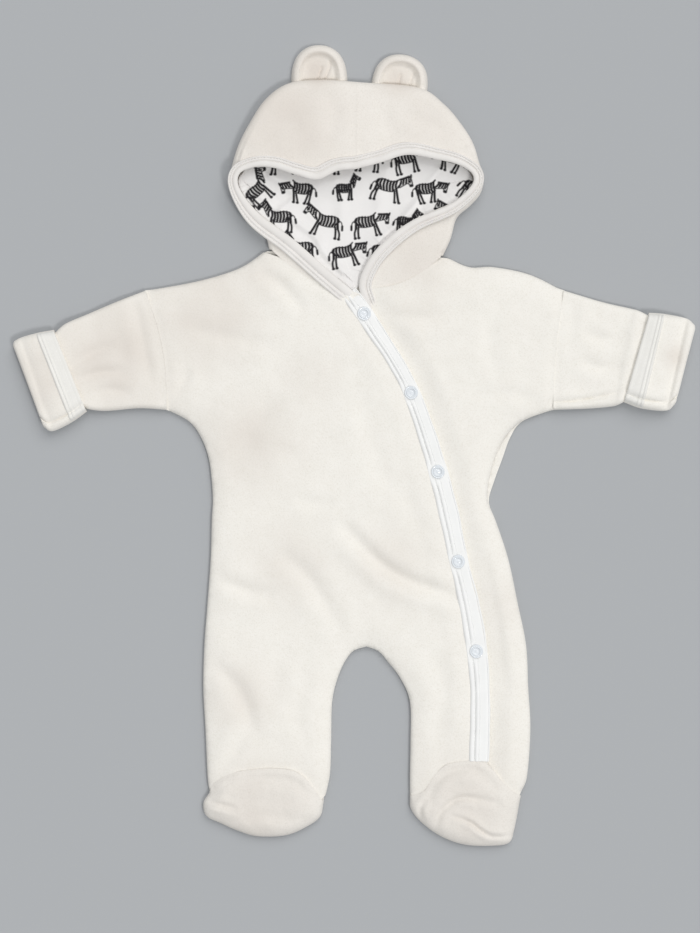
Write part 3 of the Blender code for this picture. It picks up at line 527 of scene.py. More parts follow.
def section_line(section, shift=0.0, count=25):
    """The chord of a sleeve section from its top to its low end, with its bulge."""
    top = np.array([section.top_x + shift, section.top_y])
    low = np.array([section.low_x + shift, section.low_y])
    return np.array([top + (low - top) * t + (4 * section.bulge * t * (1 - t), 0)
                     for t in np.linspace(0, 1, count)])


def neck_line(table):
    """The neck seam of a hood half, from its outer fold in to the face opening."""
    first = table[0]
    start = np.array([first.fold_x, first.fold_y])
    end = np.array([first.edge_x, first.edge_y])
    return np.array([start + (end - start) * t + (0, -4 * first.dip * t * (1 - t))
                     for t in np.linspace(0, 1, 25)])


def hood_rows(table, per_span):
    return [HoodSection(*row) for row in spline([tuple(row) for row in table], per_span)]


RIGHT_SIDE = side_line("right_side")
LEFT_SIDE = side_line("left_side")
LEFT_SIDE_FRONT = side_line("left_side", inset=1.0)
RIGHT_INSEAM = leg_line("right_leg")
LEFT_INSEAM = leg_line("left_leg")
ARMHOLE_RIGHT = section_line(SLEEVE_RIGHT[0], -0.5)
ARMHOLE_LEFT = section_line(SLEEVE_LEFT[0], 0.5)
NECK_RIGHT = neck_line(HOOD_RIGHT)
NECK_LEFT = neck_line(HOOD_LEFT)
ARCH_RIGHT = spline(INSTEP_RIGHT)
ARCH_LEFT = spline(INSTEP_LEFT)
BAND_CENTRE = spline(BAND)
SILHOUETTE = [RIGHT_SIDE, LEFT_SIDE_FRONT, RIGHT_INSEAM, LEFT_INSEAM,
              spline(SHOULDER_RIGHT), spline(SHOULDER_LEFT)]
LINING_EDGE = spline(
    [(row.edge_x, row.edge_y, row.edge_z) for row in HOOD_LEFT[:-1]]
    + [(HOOD_SEAM_X, HOOD_LEFT[-1].edge_y, HOOD_LEFT[-1].edge_z)]
    + [(row.edge_x, row.edge_y, row.edge_z) for row in HOOD_RIGHT[-2::-1]], per_span=4)
SEAMS = [ARMHOLE_RIGHT, ARMHOLE_LEFT, NECK_RIGHT, NECK_LEFT, ARCH_RIGHT, ARCH_LEFT]
print("front band %.0f mm long" % np.sum(
    np.linalg.norm(np.diff(BAND_CENTRE[:, :2], axis=0), axis=1)))

# %% [markdown]
# ## Folds and softness
# Thick fleece does not crease sharply. A fold is a soft trough with a fuller ridge beside it,
# and it fades out at both ends. Each row below is one fold: where it starts, bends and ends, how
# deep it is, and how wide. On top of that come low bumps from the cloth's own springiness, and a
# narrow dip along each seam, where the stitches pull two pieces together.

# %% Folds of the cloth
Fold = namedtuple("Fold", "x0 y0 bend_x bend_y x1 y1 depth width ridge")
FOLDS = [
    Fold(-14, -74, 40, -124, 116, -149, 4.2, 12, 0.6),
    Fold(-69, -101, -41, -129, -8, -180, 2.6, 14, 0.4),
    Fold(-129, -127, -101, -138, -74, -144, 2.4, 12, 0.45),
    Fold(-133, -205, -108, -232, -89, -281, 2.4, 14, 0.5),
    Fold(-95, -254, -108, -284, -127, -309, 1.8, 11, 0.4),
    Fold(-153, 106, -112, 98, -74, 91, 1.6, 14, 0.4),
    Fold(-90, 162, -66, 146, -46, 122, 2.2, 11, 0.45),
    Fold(-50, 82, -92, 20, -118, -38, 2, 23, 0.35),
    Fold(30, 120, 72, 116, 114, 131, 1.7, 12, 0.5),
    Fold(121, -101, 134, -170, 143, -245, 1.6, 11, 0.45),
    Fold(1, 72, 16, 8, 36, -60, 1.4, 18, 0.3),
    Fold(-54, -54, -36, -57, -18, -54, 1.5, 12, 0.4),
    Fold(-154, 69, -160, 58, -168, 42, 2, 10, 0.45),
    Fold(40, -30, 60, -75, 74, -100, 1.2, 16, 0.3),
    Fold(-60, -190, -75, -215, -72, -250, 1.1, 18, 0.3),
    Fold(-40, -215, -52, -250, -44, -290, 1.3, 14, 0.4),
    Fold(70, -190, 84, -230, 76, -285, 1.2, 15, 0.35),
    Fold(140, 132, 128, 100, 134, 60, 1.3, 15, 0.35),
    Fold(178, 34, 150, 46, 118, 40, 1.4, 12, 0.4),
    Fold(-20, 10, -44, -8, -70, -14, 1.1, 19, 0.3),
    Fold(-206, 141, -198, 98, -189, 53, 1.9, 10, 0.45),
    Fold(-266, 71, -245, 84, -224, 93, 2.3, 10, 0.45),
    Fold(-260, 59, -238, 66, -212, 67, 1.9, 8, 0.45),
    Fold(-244, 44, -228, 50, -206, 46, 1.5, 8, 0.4),
    Fold(258, 104, 238, 96, 214, 104, 1.9, 10, 0.45),
    Fold(252, 74, 232, 70, 212, 78, 2.1, 10, 0.45),
    Fold(206, 136, 204, 108, 200, 84, 1.4, 10, 0.4),
    Fold(-90, 282, -72, 296, -48, 300, 1.3, 14, 0.4),
    Fold(92, 284, 70, 298, 44, 306, 1.3, 14, 0.4),
    Fold(-24, 330, -18, 304, -26, 276, 1.2, 14, 0.3),
    Fold(36, 326, 30, 304, 40, 282, 1.2, 14, 0.3),
    Fold(182, 38, 212, 40, 252, 48, 3, 4, 0.5),
]


def along_line(points, line):
    """Signed distance from a line, and a taper that fades both its ends."""
    best = np.full(len(points), 1e9)
    signed = np.zeros(len(points))
    place = np.zeros(len(points))
    spans = len(line) - 1
    for i in range(spans):
        run = line[i + 1] - line[i]
        t = np.clip(((points - line[i]) @ run) / (run @ run), 0, 1)
        gap = points - line[i] - t[:, None] * run
        far = np.hypot(gap[:, 0], gap[:, 1])
        side = np.sign(run[0] * gap[:, 1] - run[1] * gap[:, 0])
        nearer = far < best
        best = np.where(nearer, far, best)
        signed = np.where(nearer, far * side, signed)
        place = np.where(nearer, (i + t) / spans, place)
    return signed, np.sin(math.pi * np.clip(place, 0, 1)) ** 0.6


def fold_height(points):
    """How far the folds raise the cloth at each point; troughs are negative."""
    height = np.zeros(len(points))
    for fold in FOLDS:
        middle = np.array([fold.bend_x, fold.bend_y])
        reach = 40 + 0.6 * math.hypot(fold.x1 - fold.x0, fold.y1 - fold.y0)
        near = np.hypot(*(points - middle).T) < reach
        if not near.any():
            continue
        line = spline([(fold.x0, fold.y0), middle, (fold.x1, fold.y1)], 6)
        signed, taper = along_line(points[near], line)
        trough = -bell(signed, 0.55 * fold.width)
        ridges = fold.ridge * (bell(signed + 1.1 * fold.width, 0.75 * fold.width)
                               + 0.6 * bell(signed - 1.1 * fold.width, 0.8 * fold.width))
        height[near] += fold.depth * (trough + ridges) * taper
    return height


def lumps(points, size, seed):
    """Smooth bumps between -1 and 1, a given size apart."""
    return np.array([noise.noise(Vector((x / size, y / size, seed))) for x, y in points])


def softness(points):
    """All that the free cloth adds to its drawn height: folds, bumps and dipped seams."""
    bumps = 0.75 * lumps(points, 34.0, 3.1) + 0.35 * lumps(points, 13.0, 8.4)
    bumps = bumps + 0.12 * lumps(points, 5.0, 5.7)
    seam = distance_to(points, SEAMS)
    return fold_height(points) + bumps - 1.1 * bell(seam, 5.5) + 0.5 * bell(seam, 1.3)


probe = np.array([(40.0, -122.0), (-60.0, 20.0)])
print("height added in the main fold and on the chest:", np.round(softness(probe), 2))

# %% [markdown]
# ## From pattern piece to cloth
# A cut piece is filled with an even net of triangles, then every triangle is split into four.
# The net is lifted to a height function for its upper side and another for its under side, and
# the two sides are joined round the edge. The result is a closed sheet with a real thickness.

# %% Net of a pattern piece
def triangle_net(outline, spacing, splits):
    """Even triangles inside an outline: points and triangles."""
    ring = even_outline(outline, spacing * 0.8)
    closed = np.vstack([ring, ring[:1]])
    low, high = ring.min(axis=0), ring.max(axis=0)
    rows = np.arange(low[1], high[1], spacing * 0.866)
    net = np.array([(x + (i % 2) * spacing / 2, y) for i, y in enumerate(rows)
                    for x in np.arange(low[0], high[0], spacing)])
    net = net[inside(net, ring)]
    net = net[distance_to(net, [closed]) > spacing * 0.55]
    points = [tuple(p) for p in np.vstack([ring, net])]
    border = list(range(len(ring)))
    flat, _, faces, _, _, _ = delaunay_2d_cdt(points, [], [border], 1, 1e-5)
    xy = np.array([tuple(p) for p in flat])
    faces = np.array(faces)
    for _ in range(splits):
        edges = np.sort(np.vstack([faces[:, (0, 1)], faces[:, (1, 2)], faces[:, (2, 0)]]), axis=1)
        single, numbers = np.unique(edges, axis=0, return_inverse=True)
        numbers = numbers.reshape(3, -1) + len(xy)
        xy = np.vstack([xy, xy[single].mean(axis=1)])
        a, b, c = faces.T
        ab, bc, ca = numbers
        faces = np.vstack([np.stack(t, axis=1) for t in
                           ((a, ab, ca), (ab, b, bc), (ca, bc, c), (ab, bc, ca))])
    return xy, faces


def border_edges(faces):
    """The directed edges that only one triangle uses."""
    edges = np.vstack([faces[:, (0, 1)], faces[:, (1, 2)], faces[:, (2, 0)]])
    keys, counts = np.unique(np.sort(edges, axis=1), axis=0, return_counts=True)
    open_keys = {tuple(key) for key in keys[counts == 1]}
    return np.array([edge for edge in edges if tuple(sorted(edge)) in open_keys])


SHARP = math.radians(55)        # a cut edge turns more than this; a fold of cloth turns less


def mesh_object(name, points, faces, look):
    """A smooth mesh object from points in millimetres."""
    mesh = bpy.data.meshes.new(name)
    mesh.from_pydata((np.asarray(points) * MM).tolist(), [], [list(map(int, f)) for f in faces])
    mesh.validate()
    shape = bmesh.new()
    shape.from_mesh(mesh)
    bmesh.ops.recalc_face_normals(shape, faces=shape.faces[:])
    shape.to_mesh(mesh)
    shape.free()
    mesh.materials.append(look)
    mesh.shade_smooth()
    mesh.set_sharp_from_angle(angle=SHARP)
    made = bpy.data.objects.new(name, mesh)
    bpy.context.scene.collection.objects.link(made)
    return made


EDGE_ROUND = 2.6        # how far in from its border a sheet's edge is rounded


def cloth_panel(name, outline, top, under, spacing, look, splits=1, edge=EDGE_ROUND,
                free=None):
    """A closed sheet of cloth between two height functions. Its border is rounded where it is
    free, and stays full where it is sewn to a neighbour."""
    xy, faces = triangle_net(outline, spacing, splits)
    if np.cross(xy[faces[0, 1]] - xy[faces[0, 0]], xy[faces[0, 2]] - xy[faces[0, 0]]) < 0:
        faces = faces[:, ::-1]
    rim = border_edges(faces)
    ring = even_outline(outline, 3.0)
    ring = np.vstack([ring, ring[:1]])
    inset = np.clip(distance_to(xy, free or [ring]) / edge, 0, 1)
    low, high = under(xy), top(xy)
    rounded = np.sqrt(np.clip(1 - (1 - inset) ** 2, 0, 1))
    middle = low + 0.35 * (high - low)
    upper = np.column_stack([xy, middle + (high - middle) * rounded])
    lower = np.column_stack([xy, low])
    count = len(xy)
    sides = [(a, a + count, b + count, b) for a, b in rim]
    quads = [list(f) for f in faces] + [list(f[::-1] + count) for f in faces] + sides
    made = mesh_object(name, np.vstack([upper, lower]), quads, look)
    print("%s: %d faces" % (name, len(made.data.polygons)))
    return made


def loft(name, sections, look, wall=None, ring=False, capped=False, uv=None):
    """Quads between sections of equally many points."""
    sections = np.asarray(sections, float)
    rows, count = sections.shape[:2]
    faces = []
    for i in range(rows - 1):
        for j in range(count if ring else count - 1):
            k = (j + 1) % count
            faces.append((i * count + j, i * count + k, (i + 1) * count + k,
                          (i + 1) * count + j))
    if capped:
        faces.append(tuple(range(count))[::-1])
        faces.append(tuple((rows - 1) * count + j for j in range(count)))
    made = mesh_object(name, sections.reshape(-1, 3), faces, look)
    if uv is not None:
        layer = made.data.uv_layers.new(name="strip")
        place = np.asarray(uv, float).reshape(-1, 2)
        corners = [loop.vertex_index for loop in made.data.loops]
        layer.data.foreach_set("uv", place[corners].ravel())
    if wall:
        shell = made.modifiers.new("wall", "SOLIDIFY")
        shell.thickness = wall * MM
        shell.offset = 0.0
        plain = bpy.data.meshes.new_from_object(
            made.evaluated_get(bpy.context.evaluated_depsgraph_get()))
        made.modifiers.clear()
        made.data = plain
        plain.name = name
        plain.set_sharp_from_angle(angle=SHARP)
    print("%s: %d faces" % (name, len(made.data.polygons)))
    return made


def settle(points, low=4.5, height=3.0):
    """Add the cloth's softness to the upper side of a list of section points."""
    points = np.asarray(points, float)
    flat = points.reshape(-1, 3)
    share = ramp(flat[:, 2] - low, height)
    chosen = share > 0
    flat[chosen, 2] += (softness(flat[chosen, :2]) * share[chosen])
    return flat.reshape(points.shape)


# %% [markdown]
# ## Painted shade
# Some places of the fleece lie in shade, and that shade is painted into their colour as a
# warmer, darker tone. Each row below is one soft round place: where it is, its size and how
# much it shows.

# %% Painted shade
ShadeSpot = namedtuple("ShadeSpot", "x y radius amount")
PAINTED_SHADE_SPOTS = [
    ShadeSpot(-222, 84, 58, 0.62), ShadeSpot(-140, 122, 52, 0.50), ShadeSpot(-62, 300, 52, 0.62),
    ShadeSpot(-84, 262, 30, 0.35), ShadeSpot(72, 296, 42, 0.30), ShadeSpot(-33, 348, 20, 0.85),
    ShadeSpot(43, 342, 19, 0.75), ShadeSpot(-98, 2, 44, 0.45), ShadeSpot(36, -112, 34, 0.30),
    ShadeSpot(-106, -236, 34, 0.35), ShadeSpot(-88, -344, 52, 0.42), ShadeSpot(104, -342, 50, 0.42),
    ShadeSpot(64, 172, 36, 0.40), ShadeSpot(-292, 60, 40, 0.48), ShadeSpot(-60, -112, 40, 0.28),
    ShadeSpot(-92, 150, 26, 0.35), ShadeSpot(300, 80, 12, 0.40), ShadeSpot(60, 128, 26, 0.20),
    ShadeSpot(-40, 60, 30, 0.22), ShadeSpot(140, -150, 26, 0.20),
]


def paint_shade(piece):
    """Write how much painted shade each point of the piece gets, from 0 to 1."""
    points = np.array([vertex.co[:2] for vertex in piece.data.vertices]) / MM
    mask = np.zeros(len(points))
    for spot in PAINTED_SHADE_SPOTS:
        away = np.hypot(points[:, 0] - spot.x, points[:, 1] - spot.y)
        mask = np.maximum(mask, spot.amount * bell(away, spot.radius))
    cloudy = 1 + 0.35 * lumps(points, 26.0, 12.2)
    layer = piece.data.attributes.new("painted_shade", "FLOAT", "POINT")
    layer.data.foreach_set("value", np.clip(mask * cloudy, 0, 1))

# %% [markdown]
# ## Setting up the pieces
# Every piece is hung from the moving body it belongs to, and the construction solids it stands
# for are hidden. Each cloth piece also prints the size of its flat cut. That
# area is measured on the finished mesh: half the surface of a closed sheet is its one side.

# %% Declare a piece
NARROWEST = 0.012           # metres: the least side given for a flat cut
FULLEST = 0.32              # a cut that fills less of its box than this is given as a strip


def one_side(piece):
    return sum(face.area for face in piece.data.polygons) / 2


def declare(piece, nodes, slot, box=None):
    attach(piece, "root")
    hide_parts(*nodes)
    if slot == "snap":
        return
    if slot == "fleece":
        # fleece pieces get their painted shade
        paint_shade(piece)
    area = one_side(piece)
    corners = np.array([vertex.co for vertex in piece.data.vertices])
    size = box or tuple(corners.max(axis=0)[:2] - corners.min(axis=0)[:2])
    width, length = (max(side, NARROWEST) for side in size)
    if area > width * length:
        length = area / width
    if area < FULLEST * width * length:
        length = area / (0.5 * width)
    print("%s: cut %.0f x %.0f mm, %.1f cm2" % (
        piece.name, width * 1000, length * 1000, area * 10000))


# %% [markdown]
# ## Back and fronts
# The back is one piece that lies flat. The left front lies on it and runs in under the flap. The
# right front carries the flap and laps over, so it is cut as far as the free edge of the band.
# The body is fullest in the middle and rolls down at the side seams and inner leg seams.

# %% Heights of the body
def body_rise(points):
    reach = np.clip(distance_to(points, SILHOUETTE) / EDGE_ROLL, 0, 1)
    return 1 - (1 - reach) ** 2.2


def right_top(points):
    """The right front: the free cloth, and one layer higher where it laps over."""
    limit = np.interp(points[:, 1], BAND_CENTRE[::-1, 1], BAND_CENTRE[::-1, 0])
    lapped = ramp(points[:, 0] - (limit - UNDERLAP - 20), 12)
    rise = body_rise(points)
    low = FRONT_UNDER + EDGE_LIFT
    free = low + (BODY_TOP - low) * rise + softness(points) * (0.25 + 0.75 * rise)
    near_band = bell(distance_to(points, [BAND_CENTRE]), 13)
    flap = FLAP_UNDER + WALL
    lifted = free + 0.7 * lapped * rise
    return np.maximum(lifted * (1 - near_band) + flap * near_band, FRONT_UNDER + LEAST_LIFT)


def right_under(points):
    return np.maximum(right_top(points) - WALL, FRONT_UNDER)


def left_top(points):
    """The left front lies low beside the flap and fills out towards the side seam."""
    away = distance_to(points, [BAND_CENTRE])
    limit = np.interp(points[:, 1], BAND_CENTRE[::-1, 1], BAND_CENTRE[::-1, 0])
    filled = ramp(away - 8, 24) * (points[:, 0] > limit)
    rise = body_rise(points)
    low = FRONT_UNDER + EDGE_LIFT
    full = low + (BODY_TOP - low) * rise
    covered = FRONT_UNDER + WALL - 0.2
    free = covered + (full - covered) * filled
    return np.maximum(free + softness(points) * (0.25 + 0.75 * rise) * filled,
                      FRONT_UNDER + LEAST_LIFT)


def left_under(points):
    return np.maximum(left_top(points) - WALL, FRONT_UNDER)


def flat_at(height):
    return lambda points: np.full(len(points), float(height))


# %% Cut the back and the fronts
def make_back():
    back_neck = np.array([(86, 173.5), (HOOD_SEAM_X, 180.5), (-81, 180)])
    right_sole = np.array([(-135.5, SOLE_LINE), (-26.5, SOLE_LINE)])
    left_sole = np.array([(53.0, SOLE_LINE), (156.0, SOLE_LINE)])
    above = SOLE_LINE + 2
    outline = np.vstack([
        spline(SHOULDER_RIGHT)[3:-1], ARMHOLE_RIGHT, RIGHT_SIDE[RIGHT_SIDE[:, 1] > above][1:],
        right_sole, RIGHT_INSEAM[::-1][RIGHT_INSEAM[::-1][:, 1] > above],
        LEFT_INSEAM[1:][LEFT_INSEAM[1:][:, 1] > above], left_sole,
        LEFT_SIDE[::-1][LEFT_SIDE[::-1][:, 1] > above][:-1], ARMHOLE_LEFT[::-1],
        spline(SHOULDER_LEFT)[::-1][1:-3], back_neck])
    return cloth_panel("back_cloth", outline, flat_at(BACK_TOP), flat_at(0), 6.0, FLEECE,
                       free=SILHOUETTE)


def free_edge():
    """The flap's free edge: the band's centre line moved out to just inside its edge."""
    return BAND_CENTRE[:, :2] + normals(BAND_CENTRE) * 0.86 * BAND_CENTRE[:, 2:3]


def make_right_front():
    edge = free_edge()
    instep = ARCH_LEFT[::-1]
    instep = instep[(instep[:, 0] > 54) & (instep[:, 0] < edge[-1, 0])]
    outline = np.vstack([
        spline(SHOULDER_RIGHT)[2:-1], ARMHOLE_RIGHT, RIGHT_SIDE[1:-3], ARCH_RIGHT[2:-2],
        RIGHT_INSEAM[::-1], LEFT_INSEAM[1:-1], instep, edge[::-1],
        NECK_RIGHT[::-1][1:-3]])
    return cloth_panel("front_right_cloth", outline, right_top, right_under, 5.0, FLEECE,
                       free=SILHOUETTE)


def make_left_front():
    under_edge = shifted(BAND_CENTRE, -UNDERLAP)
    start = under_edge[under_edge[:, 1] < 128]
    instep = ARCH_LEFT[(ARCH_LEFT[:, 0] < 156) & (ARCH_LEFT[:, 0] > start[-1, 0] + 3)]
    outline = np.vstack([
        start, instep[::-1], LEFT_SIDE_FRONT[::-1][1:-1], ARMHOLE_LEFT[::-1],
        spline(SHOULDER_LEFT)[::-1][1:-2], NECK_LEFT[1:-1]])
    return cloth_panel("front_left_cloth", outline, left_top, left_under, 5.0, FLEECE,
                       free=SILHOUETTE)


BACK = make_back()
RIGHT_FRONT = make_right_front()
LEFT_FRONT = make_left_front()
declare(BACK, ["back"], "fleece")
declare(LEFT_FRONT, ["front_left"], "fleece")
declare(RIGHT_FRONT, ["front_right"], "fleece")

# %% [markdown]
# ## Sleeves and turned-back cuffs
# A sleeve is a tube pressed flat. Its sections run straight underneath, turn round at both edges
# and crown a little on top, so the tube is open at both ends like the real one. The cuff is the
# sleeve's own end, turned back over it: a wider, fuller ring whose hem lies on its upper side.

# %% Tube sections
RING_TURN = 12              # points round each edge of a flat ring
SLEEVE_SPAN = 40            # points along each flat side of a sleeve ring


def flat_ring(top, low, bulge, floor, height, span, turn=RING_TURN):
    """The mid-surface of a tube pressed flat, from its low edge round to its top edge."""
    top, low = np.array(top, float), np.array(low, float)
    run = top - low
    width = np.linalg.norm(run)
    radius = 0.5 * (height - WALL)
    middle = floor + WALL / 2 + radius
    across = []
    straight = np.linspace(0.0, 1.0, span + 2)[1:-1]
    near, far = WALL / 2 + radius, width - WALL / 2 - radius
    for side in (0, 1):
        for angle in np.linspace(-0.5, 0.5, turn) * math.pi:
            inset = WALL / 2 + radius - radius * math.cos(angle)
            rise = radius * math.sin(angle)
            across.append((inset, middle + rise) if side == 0
                          else (width - inset, middle - rise))
        for part in (straight if side == 0 else straight[::-1]):
            across.append((near + (far - near) * part, middle + (radius, -radius)[side]))
    ring = []
    for offset, z in across:
        t = offset / width
        x, y = low + run * t + np.array([4 * bulge * t * (1 - t), 0])
        ring.append((x, y, z))
    return ring


def table_rows(kind, table, per_span):
    return [kind(*row) for row in spline([tuple(row) for row in table], per_span)]


# %% Sleeves
def make_sleeve(side, table):
    rings = [flat_ring((r.top_x, r.top_y), (r.low_x, r.low_y), r.bulge, r.floor, r.height,
                       SLEEVE_SPAN) for r in table_rows(SleeveSection, table, 11)]
    return loft("sleeve_%s_cloth" % side, settle(rings), FLEECE, wall=WALL, ring=True)


for side, table in (("right", SLEEVE_RIGHT), ("left", SLEEVE_LEFT)):
    sleeve = make_sleeve(side, table)
    declare(sleeve, ["sleeve_" + side], "fleece")

# %% [markdown]
# The cuff's fold at the wrist is a full soft roll, and the turned-back end stands off the sleeve
# a little, so a dark hollow shows beside it. The hem is a strip of jersey binding with four
# raised rows, which a coverstitch machine leaves on a knitted edge.

# %% Cuffs and hems
CUFF_MOUTH = ((0.9, 1.4), (1.0, 2.7), (0.6, 4.0), (-1.5, 5.0))
HEM_WALL = 1.0
HemRidge = namedtuple("HemRidge", "place height width")
HEM_RIDGES = [HemRidge(0.10, 0.25, 0.06), HemRidge(0.42, 0.12, 0.07), HemRidge(0.72, 0.75, 0.05),
              HemRidge(0.92, 0.95, 0.05)]
CUFF_HOLLOW = {"right": 1.2, "left": 3.8}
CUFF_CREASE = 8.5           # from the low edge to the line where the back layer shows
CUFF_DIP = 3.4              # how deep that line lies
CUFF_SPAN = 30              # points along each flat side of a cuff ring
HEM_WRAP = 7                # points by which the hem runs on round each edge
HEM_LENGTH, HEM_WIDTH = 80, 13


def cuff_section(row):
    """A cuff ring whose upper side dips where the front layer rolls over the back one."""
    ring = np.array(flat_ring((row.top_x, row.top_y), (row.low_x, row.low_y), row.bulge, 0,
                              row.height, CUFF_SPAN))
    away = np.hypot(ring[:, 0] - row.low_x, ring[:, 1] - row.low_y)
    upper = ramp(ring[:, 2] - 0.4 * row.height, 3)
    ring[:, 2] -= CUFF_DIP * bell(away - CUFF_CREASE, 2.0) * upper
    return ring


def make_cuff(side, table):
    rings = [cuff_section(row) for row in table_rows(CuffSection, table, 9)]
    last = table[-1]
    outwards = math.copysign(1.0, last.top_x)
    for reach, inset in CUFF_MOUTH:
        rings.append(flat_ring(
            (last.top_x + outwards * reach, last.top_y - inset),
            (last.low_x + outwards * reach, last.low_y + inset), last.bulge, inset,
            last.height - 2 * inset, CUFF_SPAN))
    rings = np.array(rings)
    flat = rings.reshape(-1, 3)
    upper = ramp(flat[:, 2] - 9, 5)
    bumps = 0.8 * lumps(flat[:, :2], 21.0, 6.3) + 0.25 * lumps(flat[:, :2], 7.0, 2.2)
    part = np.repeat(np.linspace(0, 1, len(rings)), rings.shape[1])
    hollow = CUFF_HOLLOW[side] * bell(part - 0.58, 0.10)
    flat[:, 2] += (bumps - hollow) * upper
    return loft("cuff_%s_cloth" % side, flat.reshape(rings.shape), FLEECE, wall=WALL - 0.2,
                ring=True)


def make_hem(side, table):
    """A closed strip over the cuff's inner edge, with four raised rows along it."""
    rows = table_rows(CuffSection, table, 60)[:61]
    upper = slice(RING_TURN - HEM_WRAP, RING_TURN + CUFF_SPAN + HEM_WRAP)
    grid = np.array([cuff_section(row)[upper] for row in rows])
    across = np.linspace(0, 1, len(grid))
    ridge = np.max([r.height * bell(across - r.place, r.width) for r in HEM_RIDGES], axis=0)
    bumps = 0.8 * lumps(grid.reshape(-1, 3)[:, :2], 21.0, 6.3)
    grid[:, :, 2] += ramp(grid[:, :, 2] - 9, 5) * bumps.reshape(grid.shape[:2])
    lift = WALL / 2 + HEM_WALL / 2 - 0.1 + ridge
    lift = lift * np.sqrt(np.clip(np.minimum(across, 1 - across) / 0.03, 0.25, 1))
    grid[:, :, 2] += lift[:, None]
    length = np.linspace(0, HEM_LENGTH * MM, grid.shape[1])
    uv = [[(along, HEM_WIDTH * MM * part) for along in length] for part in across]
    return loft("hem_%s_cloth" % side, grid, CUFF_JERSEY, wall=HEM_WALL, uv=uv), grid


HEM_GRIDS = {}
for side, table in (("right", CUFF_RIGHT), ("left", CUFF_LEFT)):
    cuff = make_cuff(side, table)
    hem, HEM_GRIDS[side] = make_hem(side, table)
    declare(cuff, ["cuff_" + side], "fleece")
    declare(hem, ["hem_" + side], "jersey")

# %% [markdown]
# ## Hood
# Each half of the hood runs from the face opening over the top, turns under at the outer fold
# and comes back beneath to the crown seam. The two halves meet in a seam over the crown. Near
# the opening the hood stands highest, because the trim and the lining are stacked there.

# %% Hood halves
FOLD_STEPS = 12             # points round the outer fold
TOP_STEPS = 40              # points from the opening to the fold
UNDER_STEPS = 6
TRIM_SEAT = 13.0            # the trim's width, where the hood stays level


def hood_half(table):
    """Sections of one half, each from the opening over the top and back underneath."""
    rows = hood_rows(table, 11)
    seam_x, crown_y = table[-1].fold_x, table[-1].fold_y
    sections = []
    for i, row in enumerate(rows):
        edge = np.array([row.edge_x, row.edge_y])
        fold = np.array([row.fold_x, row.fold_y])
        run = fold - edge
        width = np.linalg.norm(run)
        under_z = WALL / 2
        bend = row.fold_z - under_z
        top_z = row.fold_z + bend
        part = i / (len(rows) - 1)
        centre = np.array([seam_x, BACK_NECK_Y + (crown_y - 16 - BACK_NECK_Y) * part])
        section = []
        usable = width - bend - WALL / 2
        first = min(3.0, 0.3 * usable) / usable
        for share in np.linspace(first, 1.0, TOP_STEPS):
            reach = share * usable
            t = reach / width
            slack = ramp(reach - TRIM_SEAT, max(usable - 4.0, 1.0))
            hold = slack if usable > 20 else 0.0
            z = row.edge_z + (top_z - row.edge_z) * hold
            section.append((*(edge + run * t + (0, -4 * row.dip * t * (1 - t))), z))
        for k in range(FOLD_STEPS):
            angle = math.pi * (0.5 - (k + 1) / (FOLD_STEPS + 1))
            reach = bend * math.cos(angle)
            place = fold - run / width * (WALL / 2 + bend - reach)
            section.append((*place, row.fold_z + bend * math.sin(angle)))
        inward = fold - run / width * (WALL / 2 + bend)
        for t in np.linspace(0, 1, UNDER_STEPS):
            section.append((*(inward + (centre - inward) * t), under_z))
        sections.append(section)
    return sections


def dress_hood(sections):
    """The cloth's softness, the crown seam's ridge in a shallow dip, and puckers beside it."""
    points = settle(sections, low=8.0, height=4.0)
    flat = points.reshape(-1, 3)
    away = np.abs(flat[:, 0] - HOOD_SEAM_X)
    top = ramp(flat[:, 2] - 8.0, 4.0)
    puckers = np.sin(flat[:, 1] * 0.9 + 2.0 * np.sin(flat[:, 1] * 0.13)) * bell(away - 4, 5)
    flat[:, 2] += top * (0.2 * puckers - 0.35 * bell(away, 5.0) + 0.45 * bell(away, 1.3))
    return flat.reshape(points.shape)


for side, table in (("right", HOOD_RIGHT), ("left", HOOD_LEFT)):
    half = loft("hood_%s_cloth" % side, dress_hood(hood_half(table)), SHADED_HOOD_FLEECE, wall=WALL)
    declare(half, ["hood_" + side], "fleece", box=(0.16, 0.30))

# %% [markdown]
# ## Trim round the face opening
# A strip of cream jersey binds the edge of the hood. Beside the face it is one broad soft roll,
# then come two stitched ridges where the strip is folded over the fleece. A profile is drawn once
# and swept along the rim, and it varies a little, as a sewn strip does.

# %% Hood trim
LEAST_TRIM = 9.5        # the trim's narrowest width
TRIM_START = HoodSection(13, 125, 5.4, 84, 177, 5.0, 12, 3, 7)
FACE_CENTRE = (HOOD_SEAM_X, 215.0)
END_DIVE = 2.6          # how far a strip's end dips to run in under its neighbour


def trim_profile(width):
    """Across the trim, from the face outwards: a broad soft roll, then two stitched ridges."""
    reach = np.linspace(0, width, 56)
    share = reach / width
    roll = 2.3 * np.sqrt(np.clip(1 - ((share - 0.27) / 0.28) ** 2, 0, 1))
    first = 1.7 * np.sqrt(np.clip(1 - ((share - 0.68) / 0.11) ** 2, 0, 1))
    second = 1.7 * np.sqrt(np.clip(1 - ((share - 0.90) / 0.10) ** 2, 0, 1))
    height = np.maximum(np.maximum(roll, first), np.maximum(second, 0.5))
    return reach, height * np.sqrt(np.clip((1 - share) / 0.03, 0.2, 1))


